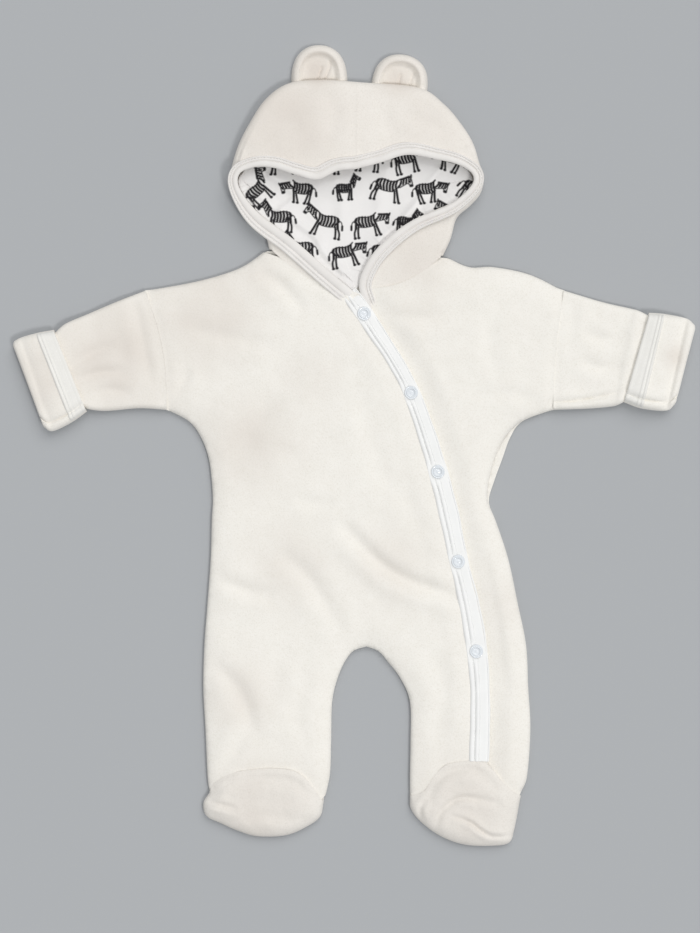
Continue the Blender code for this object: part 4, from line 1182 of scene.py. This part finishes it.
def hood_trim():
    rows = hood_rows([TRIM_START] + HOOD_LEFT, 14)[:-1] + hood_rows(HOOD_RIGHT, 14)[::-1][1:]
    line = np.array([(r.edge_x, r.edge_y, r.edge_z) for r in rows])
    away = normals(line)
    if np.mean(np.sum(away * (line[:, :2] - FACE_CENTRE), axis=1)) < 0:
        away = -away
    along = np.concatenate([[0], np.cumsum(np.linalg.norm(np.diff(line, axis=0), axis=1))])
    sections, uv, crest = [], [], []
    for row, out, place in zip(rows, away, along):
        edge = np.array([row.edge_x, row.edge_y])
        near_end = min(place, along[-1] - place)
        base = row.edge_z + WALL / 2 + 0.1 - END_DIVE * (1 - ramp(near_end, 9))
        sway = 1 + 0.05 * math.sin(place * 0.11) + 0.04 * math.sin(place * 0.31)
        width = max(row.facing + row.binding, LEAST_TRIM)
        reach, height = trim_profile(width)
        upper = [(*(edge + out * r), base + h * sway) for r, h in zip(reach, height)]
        lower = [(*(edge + out * reach[-1] * part), base) for part in (0.95, 0.5, 0.05)]
        sections.append(upper + lower)
        uv.append([(place * MM, r * MM) for r in reach] + [(place * MM, 0)] * 3)
        crest.append((*(edge + out * 0.79 * width), base + 0.7))
    return sections, uv, np.array(crest)


TRIM_SECTIONS, TRIM_UV, TRIM_GROOVE = hood_trim()
hood_binding = loft("hood_trim", TRIM_SECTIONS, HOOD_JERSEY, ring=True, capped=True, uv=TRIM_UV)
declare(hood_binding, ["binding_hood"], "jersey")

# %% [markdown]
# ## Zebra print
# The lining is white jersey printed with small black zebras. Each zebra here is drawn from a
# short table of strokes in several poses: a back and belly line, legs, mane, tail and stripes.
# The neck and head turn about the withers, so the same strokes can graze or look up. The
# strokes are painted into a point attribute of the lining, and the material reads that.

# %% Strokes of a zebra
Stroke = namedtuple("Stroke", "part width points")
ZEBRA = [
    Stroke("body", 1.2, [(-12.6, 3), (-11, 6), (-6, 7), (0, 6), (5, 7), (8, 9)]),
    Stroke("body", 0.9, [(-9, -2), (-4, -3), (3, -2.8), (7, -1)]),
    Stroke("leg", 2.1, [(-11.2, 2), (-11.6, -3)]),
    Stroke("leg", 1.6, [(-11.6, -3), (-12.6, -7), (-12.4, -12)]),
    Stroke("leg", 1.7, [(-9, -1), (-9.4, -5), (-9.0, -12)]),
    Stroke("leg", 1.9, [(6.4, 1), (6.8, -4), (7.6, -12)]),
    Stroke("leg", 1.6, [(4.4, -1), (4.4, -5), (3.8, -12)]),
    Stroke("hoof", 2.0, [(-12.5, -12), (-11.8, -12)]),
    Stroke("hoof", 2.0, [(-9.1, -12), (-8.4, -12)]),
    Stroke("hoof", 2.0, [(7.6, -12), (8.3, -12)]),
    Stroke("hoof", 2.0, [(3.8, -12), (4.5, -12)]),
    Stroke("tail", 0.9, [(-12, 4.5), (-14.6, 3), (-16, 0)]),
    Stroke("tail", 1.8, [(-16, 0), (-16.6, -3.4)]),
    Stroke("body", 1.9, [(-10.4, 6), (-11.4, 2.6), (-9.6, 0)]),
    Stroke("body", 1.9, [(-7.6, 6.8), (-8.6, 2.8), (-7.0, -1.6)]),
    Stroke("body", 1.9, [(-4.8, 6.8), (-5.4, 2.4), (-4.4, -2.4)]),
    Stroke("body", 1.9, [(-2.0, 6.4), (-2.4, 2.2), (-1.6, -2.4)]),
    Stroke("body", 1.9, [(0.8, 6.0), (0.4, 2.2), (1.2, -2.4)]),
    Stroke("body", 1.9, [(3.6, 6.4), (3.0, 2.6), (3.8, -1.8)]),
    Stroke("body", 1.8, [(6.2, 7.4), (5.6, 3.6), (6.4, 0)]),
    Stroke("head", 0.9, [(10.6, 3.4), (13.0, 8.6), (14.2, 11)]),
    Stroke("head", 1.8, [(8.4, 8.6), (9.4, 5.6), (9.2, 2.6)]),
    Stroke("head", 1.7, [(9.6, 10.8), (11.2, 7.6)]),
    Stroke("head", 1.7, [(11.0, 13.0), (12.8, 10.0)]),
    Stroke("head", 1.5, [(12.2, 15.2), (14.2, 12.4)]),
    Stroke("head", 1.2, [(14.0, 15.6), (15.4, 12.4)]),
    Stroke("head", 1.0, [(12.8, 16.4), (15.6, 14.8), (18.8, 11.8)]),
    Stroke("head", 1.0, [(14.2, 11), (17.0, 10.4)]),
    Stroke("head", 2.4, [(18.4, 11.4), (17.6, 10.6)]),
    Stroke("head", 1.2, [(12.6, 16), (12.2, 18.6), (13.8, 16.4)]),
    Stroke("head", 1.9, [(7.0, 9.6), (9.2, 12.6), (11.6, 16.2)]),
]
WITHERS = (7.0, 5.0)
REACH = 24.0            # no stroke of a zebra lies farther than this from its middle
INK_EDGE = 0.7          # how softly the ink ends
Pose = namedtuple("Pose", "head lean size")
POSES = [Pose(0, 0, 1.0), Pose(-62, 2, 1.0), Pose(14, -1, 1.0), Pose(-26, 3, 1.04),
         Pose(6, -2, 0.76), Pose(-72, -3, 0.95)]


def turned(points, degrees, centre):
    angle = math.radians(degrees)
    spin = np.array([(math.cos(angle), -math.sin(angle)), (math.sin(angle), math.cos(angle))])
    return (np.asarray(points, float) - centre) @ spin.T + centre


BOLD = 1.25             # how much heavier the print is than the drawing


def zebra_strokes(pose):
    """The strokes of one zebra: lines, and their widths."""
    strokes = []
    for stroke in ZEBRA:
        points = np.array(stroke.points, float)
        if stroke.part == "head":
            points = turned(points, pose.head, np.array(WITHERS))
        elif stroke.part in ("leg", "hoof"):
            swing = pose.lean * (1 if points[0, 0] > 0 else -1)
            points[:, 0] += swing * np.clip(-points[:, 1] / 10, 0, 1)
        if len(points) > 2:
            points = spline(points, 4)
        strokes.append((points * pose.size, BOLD * stroke.width))
    return strokes


def print_zebras(points, spots):
    """How dark the print is at each point, from 0 to 1."""
    dark = np.zeros(len(points))
    for x, y, degrees, mirror, pose in spots:
        local = turned(points - (x, y), -degrees, np.zeros(2))
        local[:, 0] *= mirror
        near = np.hypot(local[:, 0] - 1, local[:, 1] - 2) < REACH
        if not near.any():
            continue
        chosen = local[near]
        ink = np.zeros(len(chosen))
        for line, width in zebra_strokes(POSES[pose]):
            away = distance_to(chosen, [line])
            ink = np.maximum(ink, np.clip(0.5 + (0.5 * width - away) / INK_EDGE, 0, 1))
        dark[near] = np.maximum(dark[near], ink)
    return dark


CLEAR_TIP = 24.0        # the low tip of the opening is too narrow for a zebra


def scatter_zebras(outline, step_x, step_y, seed):
    """Loose rows of zebras over the outline's box, facing either way."""
    draw = np.random.default_rng(seed)
    low, high = outline.min(axis=0), outline.max(axis=0)
    spots = []
    for i, y in enumerate(np.arange(low[1] + 8, high[1] + step_y, step_y)):
        for x in np.arange(low[0] + (i % 2) * step_x / 2, high[0] + step_x, step_x):
            shift = draw.uniform(-2.5, 2.5, 2)
            tilt = draw.uniform(-14, 14) + (38 if x < -70 else -30 if x > 84 else 0)
            spot = (x + shift[0], y + shift[1], tilt, draw.choice((-1, 1)),
                    int(draw.integers(len(POSES))))
            if y > low[1] + CLEAR_TIP:
                spots.append(spot)
    return spots


print("%d strokes, %d poses" % (len(ZEBRA), len(POSES)))

# %% [markdown]
# The lining hangs from the rim and sags to the back of the hood. It is thin, so it wrinkles more
# sharply than fleece. Its wrinkles run from the neck up both sides of the opening.

# %% Hood lining
LINING_FLOOR = 4.6          # its height at the back of the hood
LINING_SLOPE = 13.0         # how soon it sags away from the rim
LINING_TUCK = 7.0           # how far it runs on under the hood's top layer
LINING_CLEAR = 11.0         # what it leaves free inside the hood's outer fold
BRIM_Y = 226.0              # above this level it starts low, clear of the raised brim
BATCH = 4000                # points measured at a time
Wrinkle = namedtuple("Wrinkle", "points height width step")
WRINKLES = [
    Wrinkle([(-95, 238), (-78, 223), (-65, 214), (-37, 194), (-27, 177), (-10, 160)], 2.6, 4, 1.0),
    Wrinkle([(-78, 250), (-60, 237), (-56, 230), (-68, 219)], 1.9, 3.5, 0.8),
    Wrinkle([(84, 258), (72, 244), (62, 228), (51, 214), (44, 204), (26, 188)], 2.6, 4, -1.0),
    Wrinkle([(-20, 250), (-12, 226), (-14, 200)], 1.3, 6, 0.3),
    Wrinkle([(34, 256), (26, 236), (24, 214)], 1.3, 6, -0.3),
]


def lining_outline():
    away = normals(LINING_EDGE)
    if inside(LINING_EDGE[10:11, :2] + away[10:11], LINING_EDGE[:, :2])[0]:
        away = -away
    folds = np.array([(row.fold_x, row.fold_y) for row in HOOD_LEFT + HOOD_RIGHT], float)
    room = distance_to(LINING_EDGE, [spline(folds[:len(HOOD_LEFT)]),
                                     spline(folds[len(HOOD_LEFT):])]) - LINING_CLEAR
    tuck = np.clip(room, 0, LINING_TUCK) * ramp(LINING_EDGE[:, 1] - 150, 40)
    return LINING_EDGE[:, :2] + away * tuck[:, None]


def wrinkle_height(points):
    height = np.zeros(len(points))
    for wrinkle in WRINKLES:
        line = spline(wrinkle.points, 5)
        signed, _ = along_line(points, line)
        away = distance_to(points, [line])
        height += wrinkle.height * bell(away, wrinkle.width)
        height += wrinkle.step * np.tanh(signed / 3.0) * bell(away, 14)
    return height


def lining_under(points):
    nearest = np.empty(len(points), int)
    for start in range(0, len(points), BATCH):
        part = points[start:start + BATCH]
        gaps = np.linalg.norm(part[:, None, :] - LINING_EDGE[None, :, :2], axis=2)
        nearest[start:start + BATCH] = np.argmin(gaps, axis=1)
    rim = LINING_EDGE[nearest]
    held = inside(points, LINING_EDGE[:, :2])
    away = distance_to(points, [LINING_EDGE])
    depth = np.where(held, away, 0)
    high = rim[:, 2] - WALL / 2 - LINING_WALL - 0.6 - np.where(held, 0, 0.35 * away)
    high = high + (LINING_FLOOR + 3.0 - high) * ramp(rim[:, 1] - BRIM_Y, 18)
    high = np.maximum(high, LINING_FLOOR)
    low = LINING_FLOOR - 1.0
    sag = low + (high - low) * bell(depth, LINING_SLOPE)
    free = ramp(depth - 1.0, 6)
    return sag + free * (np.maximum(wrinkle_height(points), -0.8) + 0.35 * lumps(points, 12, 4.4))


def lining_top(points):
    return lining_under(points) + LINING_WALL


def print_material():
    made, tree, shader = start_material("zebra_jersey", 0.85, sheen=0.05, specular=0.2)
    nap = add_group(tree, NAP, Clump_size=0.7, Patch_size=18.0)
    cloth = blend_colours(tree, nap.outputs["Patch"], (0.785, 0.770, 0.762), (0.900, 0.888, 0.880))
    ink = tree.nodes.new("ShaderNodeAttribute")
    ink.attribute_name = "print"
    mix = tree.nodes.new("ShaderNodeMix")
    mix.data_type = "RGBA"
    mix.inputs["B"].default_value = (0.016, 0.015, 0.017, 1)
    tree.links.new(cloth, mix.inputs["A"])
    tree.links.new(ink.outputs["Fac"], mix.inputs["Factor"])
    tree.links.new(mix.outputs["Result"], shader.inputs["Base Color"])
    add_bump(tree, shader, nap.outputs["Height"], 0.12, 0.3)
    return made


ZEBRA_JERSEY = print_material()
LINING_OUTLINE = lining_outline()
LINING = cloth_panel("hood_lining_cloth", LINING_OUTLINE, lining_top, lining_under, 3.0,
                     ZEBRA_JERSEY, splits=2, edge=0.8)
SPOTS = scatter_zebras(LINING_OUTLINE, 40.0, 29.0, 11)
PLACES = np.array([vertex.co[:2] for vertex in LINING.data.vertices]) / MM
INK = LINING.data.attributes.new("print", "FLOAT", "POINT")
INK.data.foreach_set("value", print_zebras(PLACES, SPOTS))
declare(LINING, ["hood_lining"], "lining")
print("%d zebras drawn" % len(SPOTS))

# %% [markdown]
# ## Ears
# Each ear is a small round pad of fleece, rolled at its rim and hollow in the middle, where a
# second smaller piece shows. Its base is gathered into the hood's top seam, which makes one or
# two deep pleats.

# %% Ears
EAR_TOP = 11.0
EAR_RIM = 8.5               # width of the rolled rim
EAR_EDGE = 4.0              # the roll's height at its outer edge
EAR_HOLLOW = 6.2
PLEAT_DEPTH = 1.7
EAR_BASE = 7                # points along the seam to the hood
PLEATS = {
    "ear_right": [[(-22, 357), (-23, 350), (-27, 341)], [(-30, 352), (-32, 346), (-34, 340)]],
    "ear_left": [[(56, 346), (54, 340), (52, 333)], [(44, 345), (43, 340), (42, 335)]],
}


def ear_outline(ear, scale=1.0, anchor=0.48):
    rows = hood_rows(HOOD_LEFT, 4) + hood_rows(HOOD_RIGHT, 4)
    folds = sorted((row.fold_x, row.fold_y) for row in rows if row.fold_y > 300)
    fold_x, fold_y = np.array(folds).T
    base_x = np.linspace(ear.end_x, ear.start_x, EAR_BASE)
    base_y = np.interp(base_x, fold_x, fold_y) - 1.2
    start, end = np.array([base_x[-1], base_y[-1]]), np.array([base_x[0], base_y[0]])
    along = (start - end) / np.linalg.norm(start - end)
    up = np.array([-along[1], along[0]])
    middle, half = (start + end) / 2, np.linalg.norm(start - end) / 2
    points = []
    for i in range(1, 40):
        angle = math.pi * i / 40
        across = math.cos(angle) * half * (1 + 0.08 * math.sin(angle) ** 2)
        points.append(middle + along * across + up * math.sin(angle) ** 0.8 * ear.height)
    outline = np.vstack([np.stack([base_x, base_y], axis=1), points])
    centre = middle + up * ear.height * anchor
    return centre + (outline - centre) * scale


def make_ear(ear):
    outline = ear_outline(ear)
    arc = np.vstack([outline[EAR_BASE - 1:], outline[:1]])
    base_y = outline[:EAR_BASE, 1].mean()
    pleats = [spline(line, 6) for line in PLEATS[ear.name]]

    def rim_top(points):
        away = distance_to(points, [arc])
        reach = np.clip(away / EAR_RIM, 0, 1)
        roll = EAR_EDGE + (EAR_TOP - EAR_EDGE) * np.sqrt(np.clip(1 - (1 - reach) ** 2, 0, 1))
        hollow = EAR_HOLLOW * ramp(away - 0.75 * EAR_RIM, 6.0)
        folded = PLEAT_DEPTH * bell(distance_to(points, pleats), 1.2)
        bumps = 0.5 * lumps(points, 9.0, 2.7) + 0.15 * lumps(points, 4.0, 6.6)
        return roll - hollow - folded + bumps - 1.2 * bell(points[:, 1] - base_y, 3.0)

    pad = cloth_panel(ear.name + "_pad", outline, rim_top, flat_at(0), 2.4, SHADED_HOOD_FLEECE,
                      edge=4.0, free=[arc])
    dish = ear_outline(ear, 0.72, 0.04)
    border = np.vstack([dish, dish[:1]])

    def inner_under(points):
        return rim_top(points) + 0.1

    def inner_top(points):
        return inner_under(points) + 0.15 + 0.9 * ramp(distance_to(points, [border]), 5.0)

    inner = cloth_panel(ear.name + "_inner_cloth", dish, inner_top, inner_under, 2.4,
                        FLEECE, edge=0.5)
    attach(pad, "root")
    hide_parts(ear.name)
    # the pad gets its painted shade too
    paint_shade(pad)
    declare(inner, [ear.name + "_inner"], "fleece")


for ear in EARS:
    make_ear(ear)

# %% [markdown]
# ## Front band and snaps
# The free edge of the flap is bound with white jersey: two rolled ridges on the inner side, a
# flat strip, and a thin stitched edge. Each snap presses the ridges flat round itself.

# %% Front band
BAND_BASE = 1.1             # the flat strip's thickness
BAND_RIDGE = 2.6
BAND_EDGE = 1.9
BAND_STEP = 1.8
BAND_SINK = 1.6             # how far the free edge leans down over the left front
BAND_SEAT = FLAP_UNDER + WALL - 0.2


def crushed(places):
    """0 under a snap, 1 away from it."""
    nearest = np.min([np.hypot(places[:, 0] - x, places[:, 1] - y)
                      for x, y in SNAP_CENTRES], axis=0)
    return ramp(nearest - SNAP_RADIUS - 1.0, 8)


def band_profile(half):
    """Across the band, from the ridges to the free edge."""
    share = np.linspace(-1, 1, 64)
    first = BAND_RIDGE * np.sqrt(np.clip(1 - ((share + 0.73) / 0.25) ** 2, 0, 1))
    second = BAND_RIDGE * np.sqrt(np.clip(1 - ((share + 0.24) / 0.22) ** 2, 0, 1))
    edge = BAND_EDGE * np.sqrt(np.clip(1 - ((share - 0.90) / 0.11) ** 2, 0, 1))
    flat = np.where(share > 0, BAND_BASE, 0.6)
    height = np.maximum(np.maximum(first, second), np.maximum(edge, flat))
    height = height * np.sqrt(np.clip((1 - np.abs(share)) / 0.06, 0.15, 1))
    return share * half, height


def front_band():
    first = BAND_CENTRE[0] + (BAND_CENTRE[0] - BAND_CENTRE[1]) * 2.5
    line = resample(np.vstack([first, BAND_CENTRE]), BAND_STEP)
    away = normals(line)
    base = BAND_SEAT
    sections, uv, groove, edge_line = [], [], [], []
    for i, (centre, out) in enumerate(zip(line, away)):
        along = i * BAND_STEP
        dive = END_DIVE * (1 - ramp(along, 11))
        half = centre[2] * (1 + 0.025 * math.sin(along * 0.06) + 0.02 * math.sin(along * 0.17))
        reach, height = band_profile(half)
        places = centre[:2] + np.outer(reach, out)
        free = crushed(places)
        sway = 1 + 0.05 * math.sin(along * 0.13 + 1.0)
        pressed = np.minimum(height, BAND_BASE)
        height = pressed + (height - pressed) * free * sway
        sink = -BAND_SINK * ramp(reach - 0.5 * half, half)
        upper = [(*place, base + z + drop - dive)
                 for place, z, drop in zip(places, height, sink)]
        lower = [(*(centre[:2] + out * half * part), base - dive - BAND_SINK * ramp(
            half * (part - 0.5), half)) for part in (0.95, 0.0, -0.95)]
        sections.append(upper + lower)
        uv.append([(along * MM, r * MM) for r in reach] + [(along * MM, 0)] * 3)
        groove.append((*(centre[:2] - out * 0.49 * half), base + 1.1))
        edge_line.append((*(centre[:2] + out * 0.74 * half), base + BAND_BASE - 0.5))
    return sections, uv, np.array(groove), np.array(edge_line)


BAND_SECTIONS, BAND_UV, BAND_GROOVE, BAND_HEM = front_band()
BAND_PIECE = loft("front_band", BAND_SECTIONS, JERSEY, ring=True, capped=True, uv=BAND_UV)
declare(BAND_PIECE, ["binding_front"], "jersey")

# %% [markdown]
# A plastic snap cap is a turned shape: a rounded rim, a groove, and a shallow dish with a small
# knob in the middle. Glossy white plastic shows it by sharp highlights, so its curves matter
# more than its colour.

# %% Snaps
def plastic():
    made, tree, shader = start_material("snap_plastic", 0.2, specular=0.55)
    shader.inputs["Coat Weight"].default_value = 0.5
    shader.inputs["Coat Roughness"].default_value = 0.08
    nap = add_group(tree, NAP, Clump_size=2.0, Patch_size=9.0)
    tone = blend_colours(tree, nap.outputs["Patch"], (0.74, 0.785, 0.83), (0.83, 0.865, 0.90))
    tree.links.new(tone, shader.inputs["Base Color"])
    return made


PLASTIC = plastic()
SNAP_TURNS = 72
SNAP_PROFILE = [(0.0, 1.15), (0.9, 1.2), (1.5, 1.0), (2.4, 0.95), (3.1, 1.25), (3.7, 1.9),
                (4.2, 2.05), (4.6, 1.6), (4.9, 1.25), (5.3, 1.5), (5.8, 1.6), (6.2, 1.2),
                (6.4, 0.6), (6.2, 0.0)]


def make_snap(number, x, y):
    base = BAND_SEAT + BAND_BASE + 0.02
    profile = spline(SNAP_PROFILE, 4)
    profile[0, 0] = 0.0
    points = [(x, y, base + profile[0, 1])]
    faces = []
    for radius, height in profile[1:]:
        for k in range(SNAP_TURNS):
            angle = 2 * math.pi * k / SNAP_TURNS
            points.append((x + radius * math.cos(angle), y + radius * math.sin(angle),
                           base + max(height, 0)))
    rings = len(profile) - 1
    for k in range(SNAP_TURNS):
        after = (k + 1) % SNAP_TURNS
        faces.append((0, 1 + k, 1 + after))
        for ring in range(rings - 1):
            a, b = 1 + ring * SNAP_TURNS, 1 + (ring + 1) * SNAP_TURNS
            faces.append((a + k, b + k, b + after, a + after))
    last = 1 + (rings - 1) * SNAP_TURNS
    faces.append(tuple(last + k for k in range(SNAP_TURNS))[::-1])
    cap = mesh_object("snap_cap_%d" % number, points, faces, PLASTIC)
    declare(cap, ["snap_%d" % number], "snap")


for number, (x, y) in enumerate(SNAP_CENTRES, start=1):
    make_snap(number, x, y)
print("%d snaps" % len(SNAP_CENTRES))

# %% [markdown]
# ## Feet
# Each foot is sewn to the leg at a curved instep seam and folded over, so its upper stands full
# and its toe rolls under to the sole. Below the seam lies a hollow, and the toe has a pleat.

# %% Feet and soles
SEAM_HEIGHT = 9.6           # the leg's height where the foot is sewn on
TOE_ROLL = 19.0             # how far in from the toe the foot reaches its full height
SEAM_RIDGE = 1.3
FootFold = namedtuple("FootFold", "points depth width")
FOOT_FOLDS = {
    "right": [
        FootFold([(-142, -336), (-128, -338), (-108, -343)], 2.4, 5.0),
        FootFold([(-116, -322), (-86, -315), (-56, -318), (-38, -334)], 2.2, 9.0),
        FootFold([(-118, -358), (-90, -349), (-60, -352), (-40, -350)], 0.9, 9.0),
    ],
    "left": [
        FootFold([(70, -336), (78, -316), (98, -306), (116, -308), (136, -326)], 2.2, 8.0),
        FootFold([(76, -362), (82, -345), (98, -333), (114, -333), (140, -338)], 2.2, 5.5),
        FootFold([(90, -348), (109, -355), (118, -362), (130, -368), (150, -368)], 2.5, 3.6),
        FootFold([(68, -334), (62, -344), (66, -362)], 2.0, 4.5),
    ],
}


def make_foot(side, instep, toe, heel_x):
    arch = spline(instep, 10)
    tip = spline(toe, 10)
    outline = np.vstack([arch, tip[1:-1]])
    creases = [(spline(f.points, 5), f.depth, f.width) for f in FOOT_FOLDS[side]]

    def upper_top(points):
        reach = np.clip(distance_to(points, [tip]) / TOE_ROLL, 0, 1)
        rolled = 1 - (1 - reach) ** 2.6
        seam = distance_to(points, [arch])
        low = FRONT_UNDER + EDGE_LIFT
        full = low + (FOOT_TOP - 1.5 - low) * rolled
        leg = low + (SEAM_HEIGHT - low) * body_rise(points)
        full = full - (full - leg) * bell(seam, 7.0) * (full > leg)
        height = full + SEAM_RIDGE * bell(seam - 3.0, 3.4) * rolled
        for line, depth, width in creases:
            signed, taper = along_line(points, line)
            trough = -bell(signed, 0.6 * width) + 0.45 * bell(np.abs(signed) - width, 0.8 * width)
            height = height + depth * trough * taper * (0.25 + 0.75 * rolled)
        bumps = 0.8 * lumps(points, 17.0, 7.2) + 0.35 * lumps(points, 7.0, 1.9)
        return np.maximum(height + bumps * rolled, FRONT_UNDER + LEAST_LIFT)

    def upper_under(points):
        return np.maximum(upper_top(points) - WALL, FRONT_UNDER)

    upper = cloth_panel("foot_%s_cloth" % side, outline, upper_top, upper_under, 3.2,
                        FOOT_FLEECE, free=[tip])
    below = tip[tip[:, 1] < SOLE_LINE - 0.6]
    sole_outline = np.vstack([below, [(x, SOLE_LINE - 0.6) for x in heel_x]])
    sole = cloth_panel("sole_%s_cloth" % side, sole_outline, flat_at(WALL), flat_at(0), 5.0,
                       FOOT_FLEECE)
    declare(upper, ["foot_" + side], "fleece")
    declare(sole, ["sole_" + side], "fleece")


FOOT_FLEECE = fleece("foot_fleece", (0.74, 0.71, 0.66), (0.89, 0.865, 0.82), relief=0.8)
make_foot("right", INSTEP_RIGHT, TOE_RIGHT, (-136.5, -27.5))
make_foot("left", INSTEP_LEFT, TOE_LEFT, (157.0, 53.0))

# %% [markdown]
# ## Stitches
# A sewing machine puts its stitches at an even pitch along a seam. Geometry Nodes do the same: a
# curve is resampled at the pitch, one short thread is placed on each point and turned along the
# seam, and the instances are made real so that they export as a plain mesh.

# %% Stitch tree
def stitch_tree():
    tree = bpy.data.node_groups.new("stitch_row", "GeometryNodeTree")
    new = tree.interface.new_socket
    new("Seam", in_out="INPUT", socket_type="NodeSocketGeometry")
    for label, value in (("Pitch", 3.0), ("Length", 2.3), ("Thickness", 0.5)):
        socket = new(label, in_out="INPUT", socket_type="NodeSocketFloat")
        socket.default_value = value * MM
    new("Thread", in_out="INPUT", socket_type="NodeSocketMaterial")
    new("Stitches", in_out="OUTPUT", socket_type="NodeSocketGeometry")
    start, end = tree.nodes.new("NodeGroupInput"), tree.nodes.new("NodeGroupOutput")
    curve = tree.nodes.new("GeometryNodeMeshToCurve")
    even = tree.nodes.new("GeometryNodeResampleCurve")
    even.mode = "LENGTH"
    tangent = tree.nodes.new("GeometryNodeInputTangent")
    keep = tree.nodes.new("GeometryNodeCaptureAttribute")
    keep.capture_items.new("VECTOR", "run")
    aim = tree.nodes.new("FunctionNodeAlignRotationToVector")
    aim.axis = "X"
    thread = tree.nodes.new("GeometryNodeMeshUVSphere")
    thread.inputs["Segments"].default_value = 8
    thread.inputs["Rings"].default_value = 6
    thread.inputs["Radius"].default_value = 0.5
    place = tree.nodes.new("GeometryNodeInstanceOnPoints")
    size = tree.nodes.new("ShaderNodeCombineXYZ")
    real = tree.nodes.new("GeometryNodeRealizeInstances")
    smooth = tree.nodes.new("GeometryNodeSetShadeSmooth")
    paint = tree.nodes.new("GeometryNodeSetMaterial")
    wire = tree.links.new
    wire(start.outputs["Seam"], curve.inputs[0])
    wire(curve.outputs[0], even.inputs["Curve"])
    wire(start.outputs["Pitch"], even.inputs["Length"])
    wire(even.outputs["Curve"], keep.inputs["Geometry"])
    wire(tangent.outputs[0], keep.inputs["run"])
    wire(keep.outputs["Geometry"], place.inputs["Points"])
    wire(keep.outputs["run"], aim.inputs["Vector"])
    wire(aim.outputs[0], place.inputs["Rotation"])
    wire(thread.outputs["Mesh"], place.inputs["Instance"])
    wire(start.outputs["Length"], size.inputs[0])
    wire(start.outputs["Thickness"], size.inputs[1])
    wire(start.outputs["Thickness"], size.inputs[2])
    wire(size.outputs[0], place.inputs["Scale"])
    wire(place.outputs[0], real.inputs[0])
    wire(real.outputs[0], smooth.inputs[0])
    wire(smooth.outputs[0], paint.inputs["Geometry"])
    wire(start.outputs["Thread"], paint.inputs["Material"])
    wire(paint.outputs[0], end.inputs["Stitches"])
    return tree


STITCH_TREE = stitch_tree()


def sew(name, lines, pitch=3.0, length=2.3, thickness=0.5):
    """Stitches along several lines, as one plain mesh."""
    points, edges = [], []
    for line in lines:
        first = len(points)
        points += (np.asarray(line) * MM).tolist()
        edges += [(i, i + 1) for i in range(first, len(points) - 1)]
    mesh = bpy.data.meshes.new(name)
    mesh.from_pydata(points, edges, [])
    mesh.materials.append(THREAD)
    seam = bpy.data.objects.new(name, mesh)
    bpy.context.scene.collection.objects.link(seam)
    rows = seam.modifiers.new("stitches", "NODES")
    rows.node_group = STITCH_TREE
    sockets = {item.name: item.identifier for item in STITCH_TREE.interface.items_tree
               if item.in_out == "INPUT"}
    rows[sockets["Pitch"]] = pitch * MM
    rows[sockets["Length"]] = length * MM
    rows[sockets["Thickness"]] = thickness * MM
    rows[sockets["Thread"]] = THREAD
    plain = bpy.data.meshes.new_from_object(
        seam.evaluated_get(bpy.context.evaluated_depsgraph_get()))
    seam.modifiers.clear()
    seam.data = plain
    plain.name = name
    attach(seam, "root")
    print("%s: %d stitch faces" % (name, len(plain.polygons)))
    return seam


# %% Sew the seams
def clear_of_snaps(line):
    """The stretches of a line that no snap covers."""
    free = crushed(line[:, :2]) > 0.05
    runs = np.split(np.arange(len(line)), np.flatnonzero(np.diff(free.astype(int))) + 1)
    return [line[run] for run in runs if free[run[0]] and len(run) > 3]


HEM_STITCHES = (0.255, 0.505, 0.755)        # shares of the hem's width


def hem_rows(grid):
    """Rows of stitches along the hem."""
    rows = []
    for share in HEM_STITCHES:
        row = grid[int(round(share * (len(grid) - 1)))].copy()
        row[:, 2] += HEM_WALL / 2 + 0.05
        rows.append(row)
    return rows


sew("band_stitches", clear_of_snaps(BAND_GROOVE) + clear_of_snaps(BAND_HEM))
sew("hood_stitches", [TRIM_GROOVE])
for side in ("right", "left"):
    sew("hem_%s_stitches" % side, hem_rows(HEM_GRIDS[side]), thickness=0.4)
